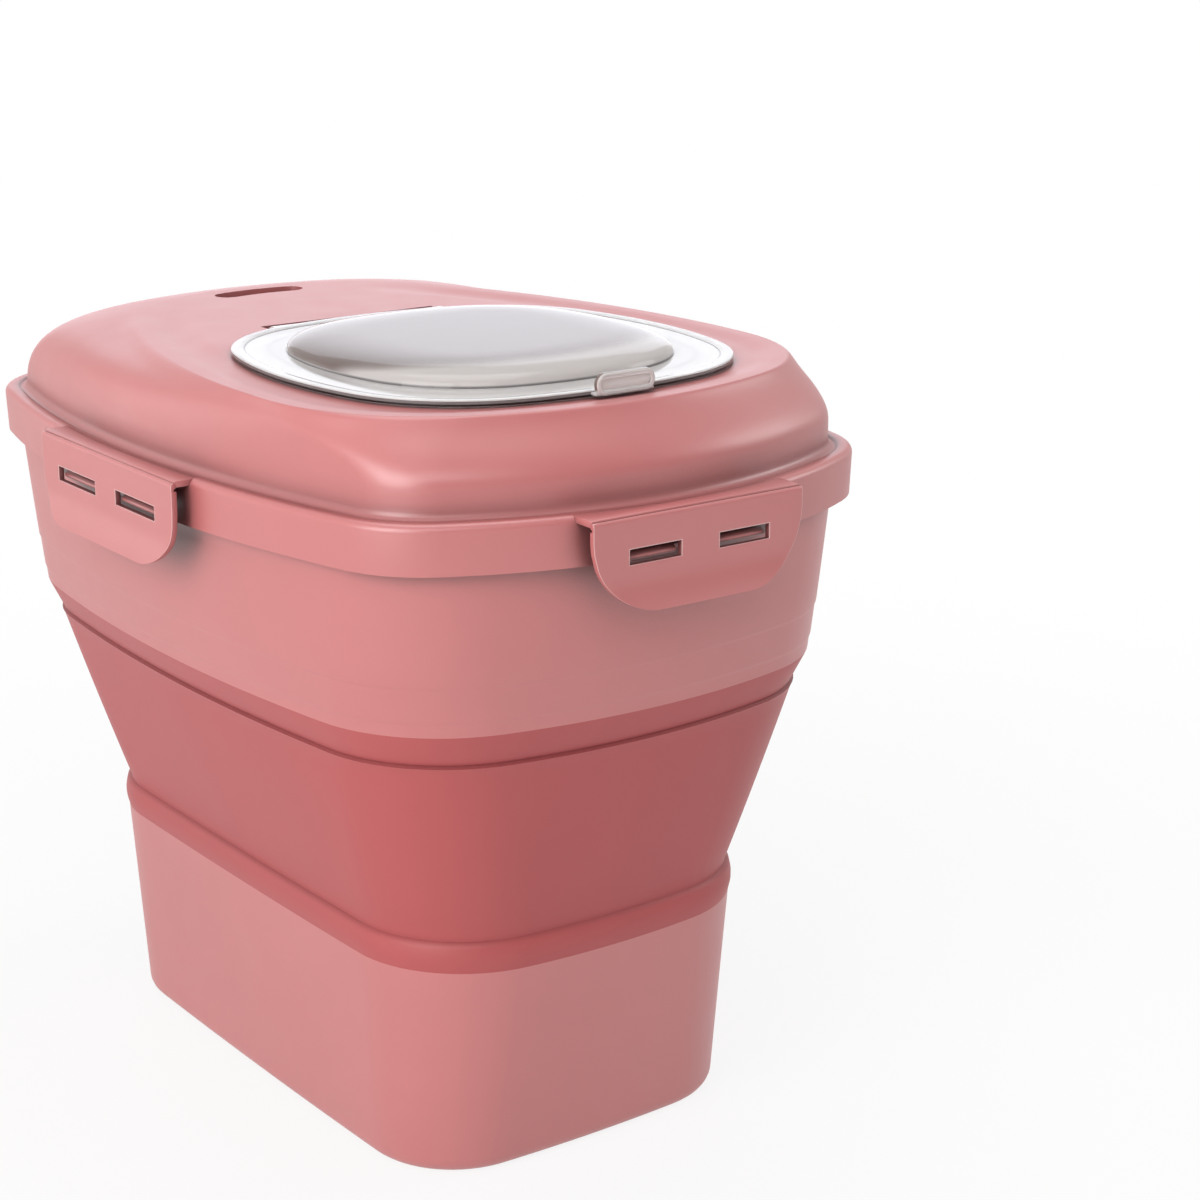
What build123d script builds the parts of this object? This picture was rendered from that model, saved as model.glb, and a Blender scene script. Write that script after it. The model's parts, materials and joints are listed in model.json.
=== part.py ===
from build123d import *
import math
import os
from dataclasses import dataclass, replace

# Collapsible food storage container, in millimetres.
# +Z is up and the origin lies under the middle of the tub.
# The window's thumb tab points to the front (-Y), and the hand slot is at the back.

# Heights above the floor
TUB_TOP = 77.6
CUFF_TOP = 87.4
CREASE = 157.4
COLLAR_BOTTOM = 168.6
COLLAR_SHOULDER = 223.0
RIM_TOP = 234.2
SKIRT_BOTTOM = 224.1
FLANGE_UNDER = 237.8
FLANGE_TOP = 240.3
RIDGE = 268.4
PANEL_UNDER = 264.4

# Walls, gaps, steps of a rounded edge and overshoot of the cutting shapes
WALL = 2.2
SOFT_WALL = 2.6
CLEARANCE = 0.3
RUNNING_FIT = 0.05
ROUND_STEPS = 5
OVERSHOOT = 1.0

# Tub
FLOOR = 3.6
FOOT_WIDTH = 11.0
FOOT_HEIGHT = 1.2
BOTTOM_EDGE = 6.0

# Soft folding wall
CUFF_BULGE = 0.9
NICK = 1.3
NICK_HEIGHT = 1.0
BEAD = 0.7
BEAD_HEIGHT = 0.8
CREASE_SHARE = 0.21

# Collar
BAND_STEPS = (4.8, 16.5)
BAND_STEP = 0.35
SHOULDER_HEIGHT = 3.5
RIM_GAP = 2.9
RIM_SEAT = 8.0
TOOTH_HEIGHT = 3.6
TOOTH_MIDDLE = 227.2
TOOTH_REACH = 3.3
TOOTH_ROOT = 6.0
TOOTH_CHAMFER = 0.8
TOOTH_RAMP = 1.4

# Lid
SKIRT_DRAFT = 0.6
EDGE_ROUND = 2.4
GROOVE = (5.6, 8.4, 1.0)
PLUG_RIB = (9.0, 10.8, 7.6)
DOME_INSET = 8.2
DOME_LEVELS = 10
DOME_UPRIGHT = 0.34
DOME_SWAY = 0.64
DOME_FULLNESS = 2.6
DISH_DEPTH = 1.5
DISH_MARGIN = 7.0
DISH_SLOPE = 5.5
DISH_BACK = 34.0
SLOT_PLACE = 107.0
SLOT_BEND = 70.0
SLOT_SWEEP = 30.0
SLOT_WIDTH = 7.0
SLOT_DEPTH = 4.0

# Seals: insets of the lower lip and of the body, and height of the lip
LID_SEAL_LIP = (4.4, 6.8)
LID_SEAL_BODY = (3.4, 7.8)
LID_SEAL_STEP = 1.4
WINDOW_SEAL_INSET = 5.2
SEAL_GAP = 0.1

# Window
WINDOW_THICK = 2.0
WINDOW_SEAT = 0.1
WINDOW_RIM = (4.5, 0.9)
WINDOW_EDGE = (1.4, 1.0)
EDGE_END = -4.0
OPENING_INSET = 11.0
LIP_THICK = 2.0
LIP_DROP = 0.4
# Crown of the window: inset from its foot and height above the flange
CROWN = ((0.0, 0.0), (1.4, 3.4), (5.0, 5.8), (14.0, 7.6), (28.0, 8.4))
WINDOW_PLUG = (12.0, 13.6, 5.2)
TAB_WIDTH = 23.0
TAB_HEIGHT = 7.2
TAB_THICK = 2.4
TAB_AHEAD = 3.4
TAB_ROOT = 4.0
TAB_ROUND = 3.4
TAB_BORDER = 1.8
TAB_RECESS = 0.8

# Window hinge; the arm's corners are measured from the axis
HINGE_Y = 36.0
HINGE_Z = 266.4
HINGE_HALF = 36.0
BARREL_R = 1.5
PIN_R = 1.0
PIN_LENGTH = 3.6
TROUGH_FRONT = 3.0
TROUGH_BACK = 4.0
TROUGH_DEPTH = 2.0
ARM_REACH = 9.0
ARM_NOSE = (0.9, 1.2)
ARM_BEND = 3.6
ARM_HEEL = 4.0
ARM_CHIN = (-1.4, -0.5)

# Latches: flap width, slot width, slot offset and lower corners on the short and on the long sides
SHORT_LATCH = (82.0, 20.0, 17.5, 23.5)
LONG_LATCH = (96.0, 28.0, 21.5, 19.0)
LATCH_BOTTOM = 210.0
LATCH_AXIS_Z = 238.6
LATCH_AXIS_OUT = 3.2
LATCH_THICK = 2.0
LATCH_NECK_BACK = 0.05
LATCH_NECK_LENGTH = 1.8
LATCH_FLARE = 3.6
LATCH_FLARE_START = 221.5
LATCH_FLARE_BEND = 0.25
LATCH_BEAD_R = 1.0
LATCH_END = 1.0
SLOT_HEIGHT = 5.0
SLOT_PLAY = 0.7
LEDGE_BACK = 0.3
LEDGE_DROP = 0.6
LEDGE_INSET = 4.0
LEDGE_ROOT = 12.0
NOTCH_MARGIN = 1.2
NOTCH_DEPTH = 8.0
NOTCH_OUT = 6.0


@dataclass(frozen=True)
class Oval:
    """Plan outline of eight tangent arcs: two long sides, a front, a back and four corners."""

    half_width: float
    front: float
    back: float
    side_radius: float
    front_radius: float
    back_radius: float
    front_corner: float
    back_corner: float
    waist: float = 0.0

    def inset(self, gap):
        """The parallel outline that lies gap inside this one."""
        return Oval(self.half_width - gap, self.front - gap, self.back - gap, self.side_radius - gap,
                    self.front_radius - gap, self.back_radius - gap, self.front_corner - gap,
                    self.back_corner - gap, self.waist)

    def corner(self, end):
        """Right-hand corner at the front (-1) or back (+1): its side point, middle and end point."""
        reach, end_radius, radius = ((self.front, self.front_radius, self.front_corner) if end < 0 else
                                     (self.back, self.back_radius, self.back_corner))
        side = Vector(self.half_width - self.side_radius, self.waist)
        cap = Vector(0, end * (reach - end_radius))
        side_gap, cap_gap = self.side_radius - radius, end_radius - radius
        span = cap - side
        along = (side_gap ** 2 - cap_gap ** 2 + span.length ** 2) / (2 * span.length)
        across = math.sqrt(side_gap ** 2 - along ** 2)
        unit = span.normalized()
        foot = side + unit * along
        normal = Vector(unit.Y, -unit.X) * across
        centre = max(foot + normal, foot - normal, key=lambda point: point.X + end * point.Y)
        side_point = side + (centre - side) * (self.side_radius / side_gap)
        cap_point = cap + (centre - cap) * (end_radius / cap_gap)
        outward = (side_point - centre) + (cap_point - centre)
        return side_point, centre + outward.normalized() * radius, cap_point

    def face(self):
        """The flat face inside the outline."""
        front_right = self.corner(-1)
        back_right = self.corner(1)
        front_left = [Vector(-point.X, point.Y) for point in front_right]
        back_left = [Vector(-point.X, point.Y) for point in back_right]
        return make_face([
            ThreePointArc(front_right[0], (self.half_width, self.waist), back_right[0]),
            ThreePointArc(*back_right),
            ThreePointArc(back_right[2], (0, self.back), back_left[2]),
            ThreePointArc(*reversed(back_left)),
            ThreePointArc(back_left[0], (-self.half_width, self.waist), front_left[0]),
            ThreePointArc(*front_left),
            ThreePointArc(front_left[2], (0, -self.front), front_right[2]),
            ThreePointArc(*reversed(front_right)),
        ])


def even_oval(half_width, half_length, side_radius, end_radius, corner):
    """Outline that is alike at the front and the back."""
    return Oval(half_width, half_length, half_length, side_radius, end_radius, end_radius, corner, corner)


def between(first, second, front_share, full_share=None):
    """Outline part of the way from first to second, with a share of its own at the sides and the back."""
    full_share = front_share if full_share is None else full_share

    def mix(name, share):
        return getattr(first, name) * (1 - share) + getattr(second, name) * share

    def mix_radius(name, share):
        return 1 / ((1 - share) / getattr(first, name) + share / getattr(second, name))

    return Oval(mix("half_width", full_share), mix("front", front_share), mix("back", full_share),
                mix_radius("side_radius", full_share), mix_radius("front_radius", front_share),
                mix_radius("back_radius", full_share), mix("front_corner", front_share),
                mix("back_corner", full_share), mix("waist", full_share))


# Plan outlines, outermost first
SKIRT = even_oval(115.0, 165.0, 480.0, 170.0, 40.0)
COLLAR_UPPER = even_oval(108.4, 155.0, 560.0, 200.0, 50.0)
COLLAR_LOWER = even_oval(102.0, 148.2, 700.0, 240.0, 52.0)
TUB_UPPER = even_oval(74.4, 125.0, 4000.0, 300.0, 44.0)
TUB_LOWER = even_oval(70.2, 113.6, 4000.0, 700.0, 34.0)
RIDGE_OVAL = Oval(97.8, 142.0, 117.5, 318.0, 156.0, 125.0, 64.0, 66.0, -56.0)
WINDOW_OVAL = Oval(78.5, 127.5, 32.5, 150.0, 160.0, 160.0, 52.0, 52.0, -49.0)
CROWN_OVAL = Oval(61.5, 110.0, 15.5, 112.0, 112.0, 112.0, 46.0, 46.0, -47.0)
DISH = replace(WINDOW_OVAL.inset(-DISH_MARGIN), back=DISH_BACK)
CREASE_OVAL = between(COLLAR_LOWER, TUB_UPPER, CREASE_SHARE)


def stack(levels):
    """Solid through a list of (height, outline) levels."""
    return loft([Pos(0, 0, height) * outline.face() for height, outline in levels], ruled=True)


def rounded_edge(outline, radius, height, direction):
    """Levels of an edge that starts upright at height and turns inwards, up (1) or down (-1)."""
    angles = [math.radians(90 * step / ROUND_STEPS) for step in range(ROUND_STEPS + 1)]
    return [(height + direction * radius * math.sin(angle), outline.inset(radius * (1 - math.cos(angle))))
            for angle in angles]


def band(outline, outer, inner, low, high):
    """Upright ring between two insets of one outline."""
    return stack([(low, outline.inset(outer)), (high, outline.inset(outer))]) - stack(
        [(low, outline.inset(inner)), (high, outline.inset(inner))])


def block(x_range, y_range, z_range):
    """Box between three pairs of limits."""
    size = [high - low for low, high in (x_range, y_range, z_range)]
    middle = [(high + low) / 2 for low, high in (x_range, y_range, z_range)]
    return Pos(*middle) * Box(*size)


def rod(half_length, radius, y, z):
    """Round bar along X."""
    return Pos(0, y, z) * Rot(0, 90, 0) * Cylinder(radius, 2 * half_length)


def sides():
    """Turn, reach, flap width, slot width, slot offset and lower corners of the latch on each side."""
    return {
        "front": (0, SKIRT.front, *SHORT_LATCH),
        "rear": (180, SKIRT.back, *SHORT_LATCH),
        "left": (-90, SKIRT.half_width, *LONG_LATCH),
        "right": (90, SKIRT.half_width, *LONG_LATCH),
    }


def tub_outline(height):
    """Outer outline of the tub's drafted wall at a height."""
    return between(TUB_LOWER, TUB_UPPER, height / TUB_TOP)


def build_tub():
    """Stiff base: drafted wall, rounded bottom edge and a foot rim round a raised floor."""
    outside = rounded_edge(tub_outline(BOTTOM_EDGE), BOTTOM_EDGE, BOTTOM_EDGE, -1)
    outer = stack(outside[::-1] + [(TUB_TOP, TUB_UPPER)])
    inner_edge = BOTTOM_EDGE - WALL
    corner_height = FLOOR + inner_edge
    inside = rounded_edge(tub_outline(corner_height).inset(WALL), inner_edge, corner_height, -1)
    inner = stack(inside[::-1] + [(TUB_TOP, TUB_UPPER.inset(WALL))])
    hollow = TUB_LOWER.inset(FOOT_WIDTH)
    return outer - inner - stack([(0, hollow), (FOOT_HEIGHT, hollow.inset(FOOT_HEIGHT))])


def build_bellows():
    """Soft wall: bulged cuff, nick, long sloping panel, beaded crease and upper band."""
    outer = stack([
        (TUB_TOP, TUB_UPPER),
        ((TUB_TOP + CUFF_TOP) / 2, TUB_UPPER.inset(-CUFF_BULGE)),
        (CUFF_TOP, TUB_UPPER.inset(-CUFF_BULGE / 3)),
        (CUFF_TOP + NICK_HEIGHT, TUB_UPPER.inset(NICK)),
        (CREASE - 2 * BEAD_HEIGHT, CREASE_OVAL),
        (CREASE - BEAD_HEIGHT, CREASE_OVAL.inset(-BEAD)),
        (CREASE, CREASE_OVAL.inset(BEAD)),
        (CREASE + BEAD_HEIGHT, CREASE_OVAL),
        (COLLAR_BOTTOM, COLLAR_LOWER),
    ])
    inner = stack([
        (TUB_TOP, TUB_UPPER.inset(WALL)),
        (CUFF_TOP + NICK_HEIGHT, TUB_UPPER.inset(NICK + SOFT_WALL)),
        (CREASE, CREASE_OVAL.inset(BEAD + SOFT_WALL)),
        (COLLAR_BOTTOM, COLLAR_LOWER.inset(WALL)),
    ])
    return outer - inner


def build_collar():
    """Stiff upper ring: stepped foot, drafted wall, wide rim and two catch teeth a side."""
    wall_height = COLLAR_SHOULDER - COLLAR_BOTTOM

    def wall(rise, step):
        return COLLAR_BOTTOM + rise, between(COLLAR_LOWER, COLLAR_UPPER, rise / wall_height).inset(-step)

    levels = [wall(0, 0)]
    for count, rise in enumerate(BAND_STEPS):
        levels += [wall(rise, count * BAND_STEP), wall(rise + BAND_STEP, (count + 1) * BAND_STEP)]
    levels += [wall(wall_height, len(BAND_STEPS) * BAND_STEP),
               (COLLAR_SHOULDER + SHOULDER_HEIGHT, SKIRT.inset(RIM_GAP)), (RIM_TOP, SKIRT.inset(RIM_GAP))]
    inner = stack([
        (COLLAR_BOTTOM, COLLAR_LOWER.inset(WALL)),
        (COLLAR_SHOULDER + WALL, COLLAR_UPPER.inset(WALL)),
        (COLLAR_SHOULDER + WALL + SHOULDER_HEIGHT, SKIRT.inset(RIM_SEAT)),
        (RIM_TOP, SKIRT.inset(RIM_SEAT)),
    ])
    collar = stack(levels) - inner
    for turn, reach, _, slot_width, slot_offset, _ in sides().values():
        for side in (-1, 1):
            collar += Rot(0, 0, turn) * tooth(reach, side * slot_offset, slot_width - 2 * SLOT_PLAY)
    return collar


def tooth(reach, middle, width):
    """Catch tooth: chamfered below, with a ramp that runs back towards its top."""
    low, high = TOOTH_MIDDLE - TOOTH_HEIGHT / 2, TOOTH_MIDDLE + TOOTH_HEIGHT / 2
    tip, root = -reach - TOOTH_REACH, -reach + TOOTH_ROOT
    section = make_face(Polyline((root, low), (tip + TOOTH_CHAMFER, low), (tip, low + TOOTH_CHAMFER),
                                 (tip, TOOTH_MIDDLE), (tip + TOOTH_RAMP, high), (root, high), close=True))
    across = Plane(origin=(middle - width / 2, 0, 0), x_dir=(0, 1, 0), z_dir=(1, 0, 0))
    return across * extrude(section, amount=width)


def dome_shares(rise):
    """How far the dome has come from its foot to the ridge, at the front and at the sides and the back."""
    run = max(rise - DOME_UPRIGHT, 0) / (1 - DOME_UPRIGHT)
    sway = run * run * (3 - 2 * run)
    front_share = DOME_SWAY * sway + (1 - DOME_SWAY) * run * run
    full_share = 1 - (1 - rise ** DOME_FULLNESS) ** (1 / DOME_FULLNESS)
    return front_share, full_share


def dome_levels(gap, low, high, count):
    """Levels from the dome's foot to its ridge, gap inside the outer face and closer towards the top."""
    foot = SKIRT.inset(DOME_INSET + gap)
    ridge = RIDGE_OVAL.inset(gap)
    levels = []
    for step in range(count + 1):
        rise = math.sin(math.radians(90 * step / count))
        levels.append((low + (high - low) * rise, between(foot, ridge, *dome_shares(rise))))
    return levels


def build_lid():
    """Domed lid: skirt, rounded flange, dome with its ridge, window dish, hand slot and hinge ledges."""
    edge = rounded_edge(SKIRT, EDGE_ROUND, FLANGE_TOP - EDGE_ROUND, 1)
    skirt = stack([(SKIRT_BOTTOM, SKIRT.inset(SKIRT_DRAFT))] + edge)
    skirt -= band(SKIRT, GROOVE[0], GROOVE[1], FLANGE_TOP - GROOVE[2], FLANGE_TOP)
    dome = dome_levels(0, FLANGE_TOP, RIDGE, DOME_LEVELS)
    lid = skirt + stack([(FLANGE_UNDER, dome[0][1])] + dome)
    ledge_low = LATCH_AXIS_Z - LEDGE_DROP
    inside = stack([(ledge_low, SKIRT.inset(LEDGE_INSET)), (FLANGE_TOP, SKIRT.inset(LEDGE_INSET))])
    for turn, reach, width, _, _, _ in sides().values():
        ledge = block((-width / 2, width / 2), (-reach - LATCH_AXIS_OUT + LEDGE_BACK, -reach + LEDGE_ROOT),
                      (ledge_low, FLANGE_TOP))
        lid += Rot(0, 0, turn) * ledge - inside
    lid -= stack([(SKIRT_BOTTOM, SKIRT.inset(WALL + SKIRT_DRAFT)), (FLANGE_UNDER, SKIRT.inset(WALL))])
    cavity = dome_levels(WALL, FLANGE_UNDER, PANEL_UNDER, DOME_LEVELS // 2)
    lid -= stack([(SKIRT_BOTTOM, cavity[0][1])] + cavity)
    lid += band(SKIRT, *PLUG_RIB[:2], FLANGE_UNDER - PLUG_RIB[2], FLANGE_UNDER)
    for turn, reach, width, slot_width, slot_offset, _ in sides().values():
        half = slot_offset + slot_width / 2 + NOTCH_MARGIN
        notch = block((-half, half), (-reach - NOTCH_OUT, -reach + NOTCH_DEPTH),
                      (SKIRT_BOTTOM - OVERSHOOT, FLANGE_UNDER))
        socket = rod(width / 2 + NOTCH_MARGIN, LATCH_BEAD_R + RUNNING_FIT,
                     -reach - LATCH_AXIS_OUT, LATCH_AXIS_Z)
        lid -= Rot(0, 0, turn) * (notch + socket)
    return lid + window_lip() + hinge_boss() + slot_boss() - window_cuts()


def slot_outline(width):
    """Curved slot at the back of the lid, bulging backwards."""
    start = 90 - SLOT_SWEEP / 2
    return SlotArc(CenterArc((0, SLOT_PLACE - SLOT_BEND), SLOT_BEND, start, SLOT_SWEEP), width)


def slot_boss():
    """Floor and walls of the hand slot, under the lid's top."""
    outline = slot_outline(SLOT_WIDTH + 2 * WALL)
    return Pos(0, 0, RIDGE - SLOT_DEPTH - WALL) * extrude(outline, amount=SLOT_DEPTH)


def hinge_boss():
    """Thicker strip of the lid that holds the window's hinge pins."""
    half = HINGE_HALF + PIN_LENGTH + WALL
    return block((-half, half), (HINGE_Y - TROUGH_FRONT - WALL, HINGE_Y + TROUGH_BACK + WALL),
                 (HINGE_Z - TROUGH_DEPTH - WALL, PANEL_UNDER + OVERSHOOT))


def window_lip():
    """Upstand round the window's opening."""
    return band(WINDOW_OVAL, OPENING_INSET - LIP_THICK, OPENING_INSET, PANEL_UNDER, RIDGE - LIP_DROP)


def window_cuts():
    """Dish, opening, hinge trough, pin holes and hand slot of the lid's top."""
    floor = RIDGE - DISH_DEPTH
    dish = stack([(floor, DISH.inset(DISH_SLOPE)), (RIDGE, DISH), (RIDGE + OVERSHOOT, DISH)]) - window_lip()
    opening = WINDOW_OVAL.inset(OPENING_INSET)
    opening = stack([(PANEL_UNDER - OVERSHOOT, opening), (RIDGE + OVERSHOOT, opening)])
    trough_x = (-HINGE_HALF - CLEARANCE, HINGE_HALF + CLEARANCE)
    trough_y = (HINGE_Y - TROUGH_FRONT, HINGE_Y + TROUGH_BACK)
    trough = block(trough_x, trough_y, (HINGE_Z - TROUGH_DEPTH, RIDGE + OVERSHOOT))
    trough += block(trough_x, (HINGE_Y - ARM_REACH - OVERSHOOT, HINGE_Y), (floor, RIDGE + OVERSHOOT))
    holes = rod(HINGE_HALF + PIN_LENGTH + CLEARANCE, PIN_R + RUNNING_FIT, HINGE_Y, HINGE_Z)
    pocket = Pos(0, 0, RIDGE - SLOT_DEPTH) * extrude(slot_outline(SLOT_WIDTH), amount=SLOT_DEPTH + OVERSHOOT)
    return dish + opening + trough + holes + pocket


def build_lid_seal():
    """Soft gasket under the lid's flange, with a narrower lower lip."""
    low = RIM_TOP + CLEARANCE
    outer, inner = (
        stack([(low, SKIRT.inset(lip)), (low + LID_SEAL_STEP, SKIRT.inset(body)),
               (FLANGE_UNDER, SKIRT.inset(body))])
        for lip, body in zip(LID_SEAL_LIP, LID_SEAL_BODY))
    return outer - inner


def build_window_seal():
    """Soft ring that lies in the dish, round the opening's upstand."""
    return band(WINDOW_OVAL, WINDOW_SEAL_INSET, OPENING_INSET - LIP_THICK - SEAL_GAP,
                RIDGE - DISH_DEPTH, RIDGE - LIP_DROP)


def build_window():
    """Clear flip window: rimmed flange, raised crown, plug rib, thumb tab and hinge barrel with stub pins."""
    low = RIDGE - WINDOW_SEAT
    top = low + WINDOW_THICK
    rim_inset, rim_height = WINDOW_RIM
    flange = stack([(low, WINDOW_OVAL), (top, WINDOW_OVAL)])
    edge_inset, edge_drop = WINDOW_EDGE
    window = flange + band(WINDOW_OVAL, 0, rim_inset, top, top + rim_height)
    behind = block((-WINDOW_OVAL.half_width, WINDOW_OVAL.half_width), (EDGE_END, HINGE_Y),
                   (low - edge_drop, low))
    window += band(WINDOW_OVAL, 0, edge_inset, low - edge_drop, low) - behind
    crown = [(top + height, CROWN_OVAL.inset(inset)) for inset, height in CROWN]
    window += stack([(low, CROWN_OVAL)] + crown)
    window -= stack([(height - WINDOW_THICK, outline.inset(WINDOW_THICK)) for height, outline in crown])
    outer, inner, depth = WINDOW_PLUG
    window += band(WINDOW_OVAL, outer, inner, low - depth, low)
    return window + thumb_tab(low) + hinge_arm(low, top)


def thumb_tab(low):
    """Standing lip at the window's front edge, with a bordered face."""
    front = -WINDOW_OVAL.front - TAB_AHEAD
    upright = Plane(origin=(0, front, low + TAB_HEIGHT / 2), x_dir=(1, 0, 0), z_dir=(0, -1, 0))
    tab = upright * extrude(RectangleRounded(TAB_WIDTH, TAB_HEIGHT, TAB_ROUND), amount=-TAB_THICK)
    inner = RectangleRounded(TAB_WIDTH - 2 * TAB_BORDER, TAB_HEIGHT - 2 * TAB_BORDER, TAB_ROUND - TAB_BORDER)
    root = block((-TAB_WIDTH / 2, TAB_WIDTH / 2), (front, front + TAB_THICK + TAB_ROOT),
                 (low, low + WINDOW_THICK))
    return tab - upright * extrude(inner, amount=-TAB_RECESS) + root


def hinge_arm(low, top):
    """Barrel on the hinge axis, the arm that carries it and its two stub pins."""
    upper = top - HINGE_Z
    under = low - HINGE_Z
    profile = make_face(Polyline(ARM_NOSE, (-ARM_BEND, upper), (-ARM_REACH, upper), (-ARM_REACH, under),
                                 (-ARM_HEEL, under), ARM_CHIN, close=True))
    across = Plane(origin=(-HINGE_HALF, HINGE_Y, HINGE_Z), x_dir=(0, 1, 0), z_dir=(1, 0, 0))
    arm = across * extrude(profile, amount=2 * HINGE_HALF)
    pins = rod(HINGE_HALF + PIN_LENGTH, PIN_R, HINGE_Y, HINGE_Z)
    return arm + rod(HINGE_HALF, BARREL_R, HINGE_Y, HINGE_Z) + pins


def latch_section(axis_y, neck_low):
    """Section of a latch flap: straight plate that bends outwards into a lip."""
    half = LATCH_THICK / 2
    tip = axis_y - LATCH_FLARE
    bend_y = axis_y - LATCH_FLARE * LATCH_FLARE_BEND
    bend_z = (LATCH_BOTTOM + LATCH_FLARE_START) / 2
    return make_face([
        Line((axis_y - half, neck_low), (axis_y + half, neck_low)),
        Line((axis_y + half, neck_low), (axis_y + half, LATCH_FLARE_START)),
        ThreePointArc((axis_y + half, LATCH_FLARE_START), (bend_y + half, bend_z), (tip + half, LATCH_BOTTOM)),
        Line((tip + half, LATCH_BOTTOM), (tip - half, LATCH_BOTTOM)),
        ThreePointArc((tip - half, LATCH_BOTTOM), (bend_y - half, bend_z), (axis_y - half, LATCH_FLARE_START)),
        Line((axis_y - half, LATCH_FLARE_START), (axis_y - half, neck_low)),
    ])


def build_latch(turn, reach, width, slot_width, slot_offset, corner):
    """Snap flap: bead on the hinge axis, thin neck, slotted plate with round corners and an outward lip."""
    axis_y = -reach - LATCH_AXIS_OUT
    neck_low = LATCH_AXIS_Z - LATCH_NECK_LENGTH
    front = axis_y - LATCH_FLARE - LATCH_THICK
    back = axis_y + LATCH_THICK
    across = Plane(origin=(-width / 2, 0, 0), x_dir=(0, 1, 0), z_dir=(1, 0, 0))
    flap = across * extrude(latch_section(axis_y, neck_low), amount=width)
    facing = Plane(origin=(0, front, (LATCH_BOTTOM + LATCH_AXIS_Z) / 2), x_dir=(1, 0, 0), z_dir=(0, -1, 0))
    outline = Rectangle(width, LATCH_AXIS_Z - LATCH_BOTTOM)
    outline = fillet(outline.vertices().group_by(Axis.Y)[0], corner)
    flap &= facing * extrude(outline, amount=front - back)
    for side in (-1, 1):
        middle = side * slot_offset
        flap -= block((middle - slot_width / 2, middle + slot_width / 2), (front, back),
                      (TOOTH_MIDDLE - SLOT_HEIGHT / 2, TOOTH_MIDDLE + SLOT_HEIGHT / 2))
    half = width / 2 - LATCH_END
    neck = block((-half, half), (axis_y - LATCH_THICK / 2, axis_y + LATCH_NECK_BACK),
                 (neck_low - OVERSHOOT, LATCH_AXIS_Z))
    return Rot(0, 0, turn) * (flap + neck + rod(half, LATCH_BEAD_R, axis_y, LATCH_AXIS_Z))


PIECES = {
    "tub": build_tub(),
    "bellows": build_bellows(),
    "collar": build_collar(),
    "lid": build_lid(),
    "lid_seal": build_lid_seal(),
    "window_seal": build_window_seal(),
    "window": build_window(),
}
for side_name, latch_sizes in sides().items():
    PIECES[f"{side_name}_latch"] = build_latch(*latch_sizes)

os.makedirs("parts", exist_ok=True)
for node, solid in PIECES.items():
    export_step(solid, f"parts/{node}.step")
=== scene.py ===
"""Looks of a collapsible food storage container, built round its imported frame, in metres."""

from __future__ import annotations

import json
import logging
import math
from dataclasses import dataclass, field
from enum import Enum
from typing import Any, Iterable, Mapping, Optional, Sequence, Union

import bmesh
import bpy
from mathutils import Matrix, Vector

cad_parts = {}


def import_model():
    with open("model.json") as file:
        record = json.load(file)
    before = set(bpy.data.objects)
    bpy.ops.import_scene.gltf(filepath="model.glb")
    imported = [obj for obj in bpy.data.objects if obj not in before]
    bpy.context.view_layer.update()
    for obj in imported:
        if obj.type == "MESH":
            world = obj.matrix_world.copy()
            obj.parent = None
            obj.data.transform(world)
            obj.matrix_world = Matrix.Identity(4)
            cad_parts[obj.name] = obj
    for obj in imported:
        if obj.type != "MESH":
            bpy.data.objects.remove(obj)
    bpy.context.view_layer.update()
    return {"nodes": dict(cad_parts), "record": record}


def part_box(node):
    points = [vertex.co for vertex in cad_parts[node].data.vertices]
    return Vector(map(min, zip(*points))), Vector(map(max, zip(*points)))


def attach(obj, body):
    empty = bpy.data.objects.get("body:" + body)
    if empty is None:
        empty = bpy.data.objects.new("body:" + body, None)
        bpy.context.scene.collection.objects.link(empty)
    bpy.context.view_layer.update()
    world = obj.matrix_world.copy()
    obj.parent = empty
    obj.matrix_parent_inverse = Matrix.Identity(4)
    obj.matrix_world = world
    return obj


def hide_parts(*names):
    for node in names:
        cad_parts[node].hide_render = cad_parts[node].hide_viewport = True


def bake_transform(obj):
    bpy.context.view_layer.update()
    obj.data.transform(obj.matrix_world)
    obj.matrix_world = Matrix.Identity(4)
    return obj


LOG = logging.getLogger("container")
LINES = "lines"
# Thickness of the stiff walls, and the small gap that keeps rings and faces apart.
WALL = 0.0022
HAIR = 0.0001
# Place and height of the window's hinge axis.
HINGE_Y = 0.036
HINGE_Z = 0.2664
# Heights between which the shade of hollows sets in above the foot.
UNSHADED_FOOT = (0.02, 0.06)

Triple = tuple[float, float, float]
Colour = Triple
Span = tuple[float, float]
Number = Union[int, float]


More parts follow.
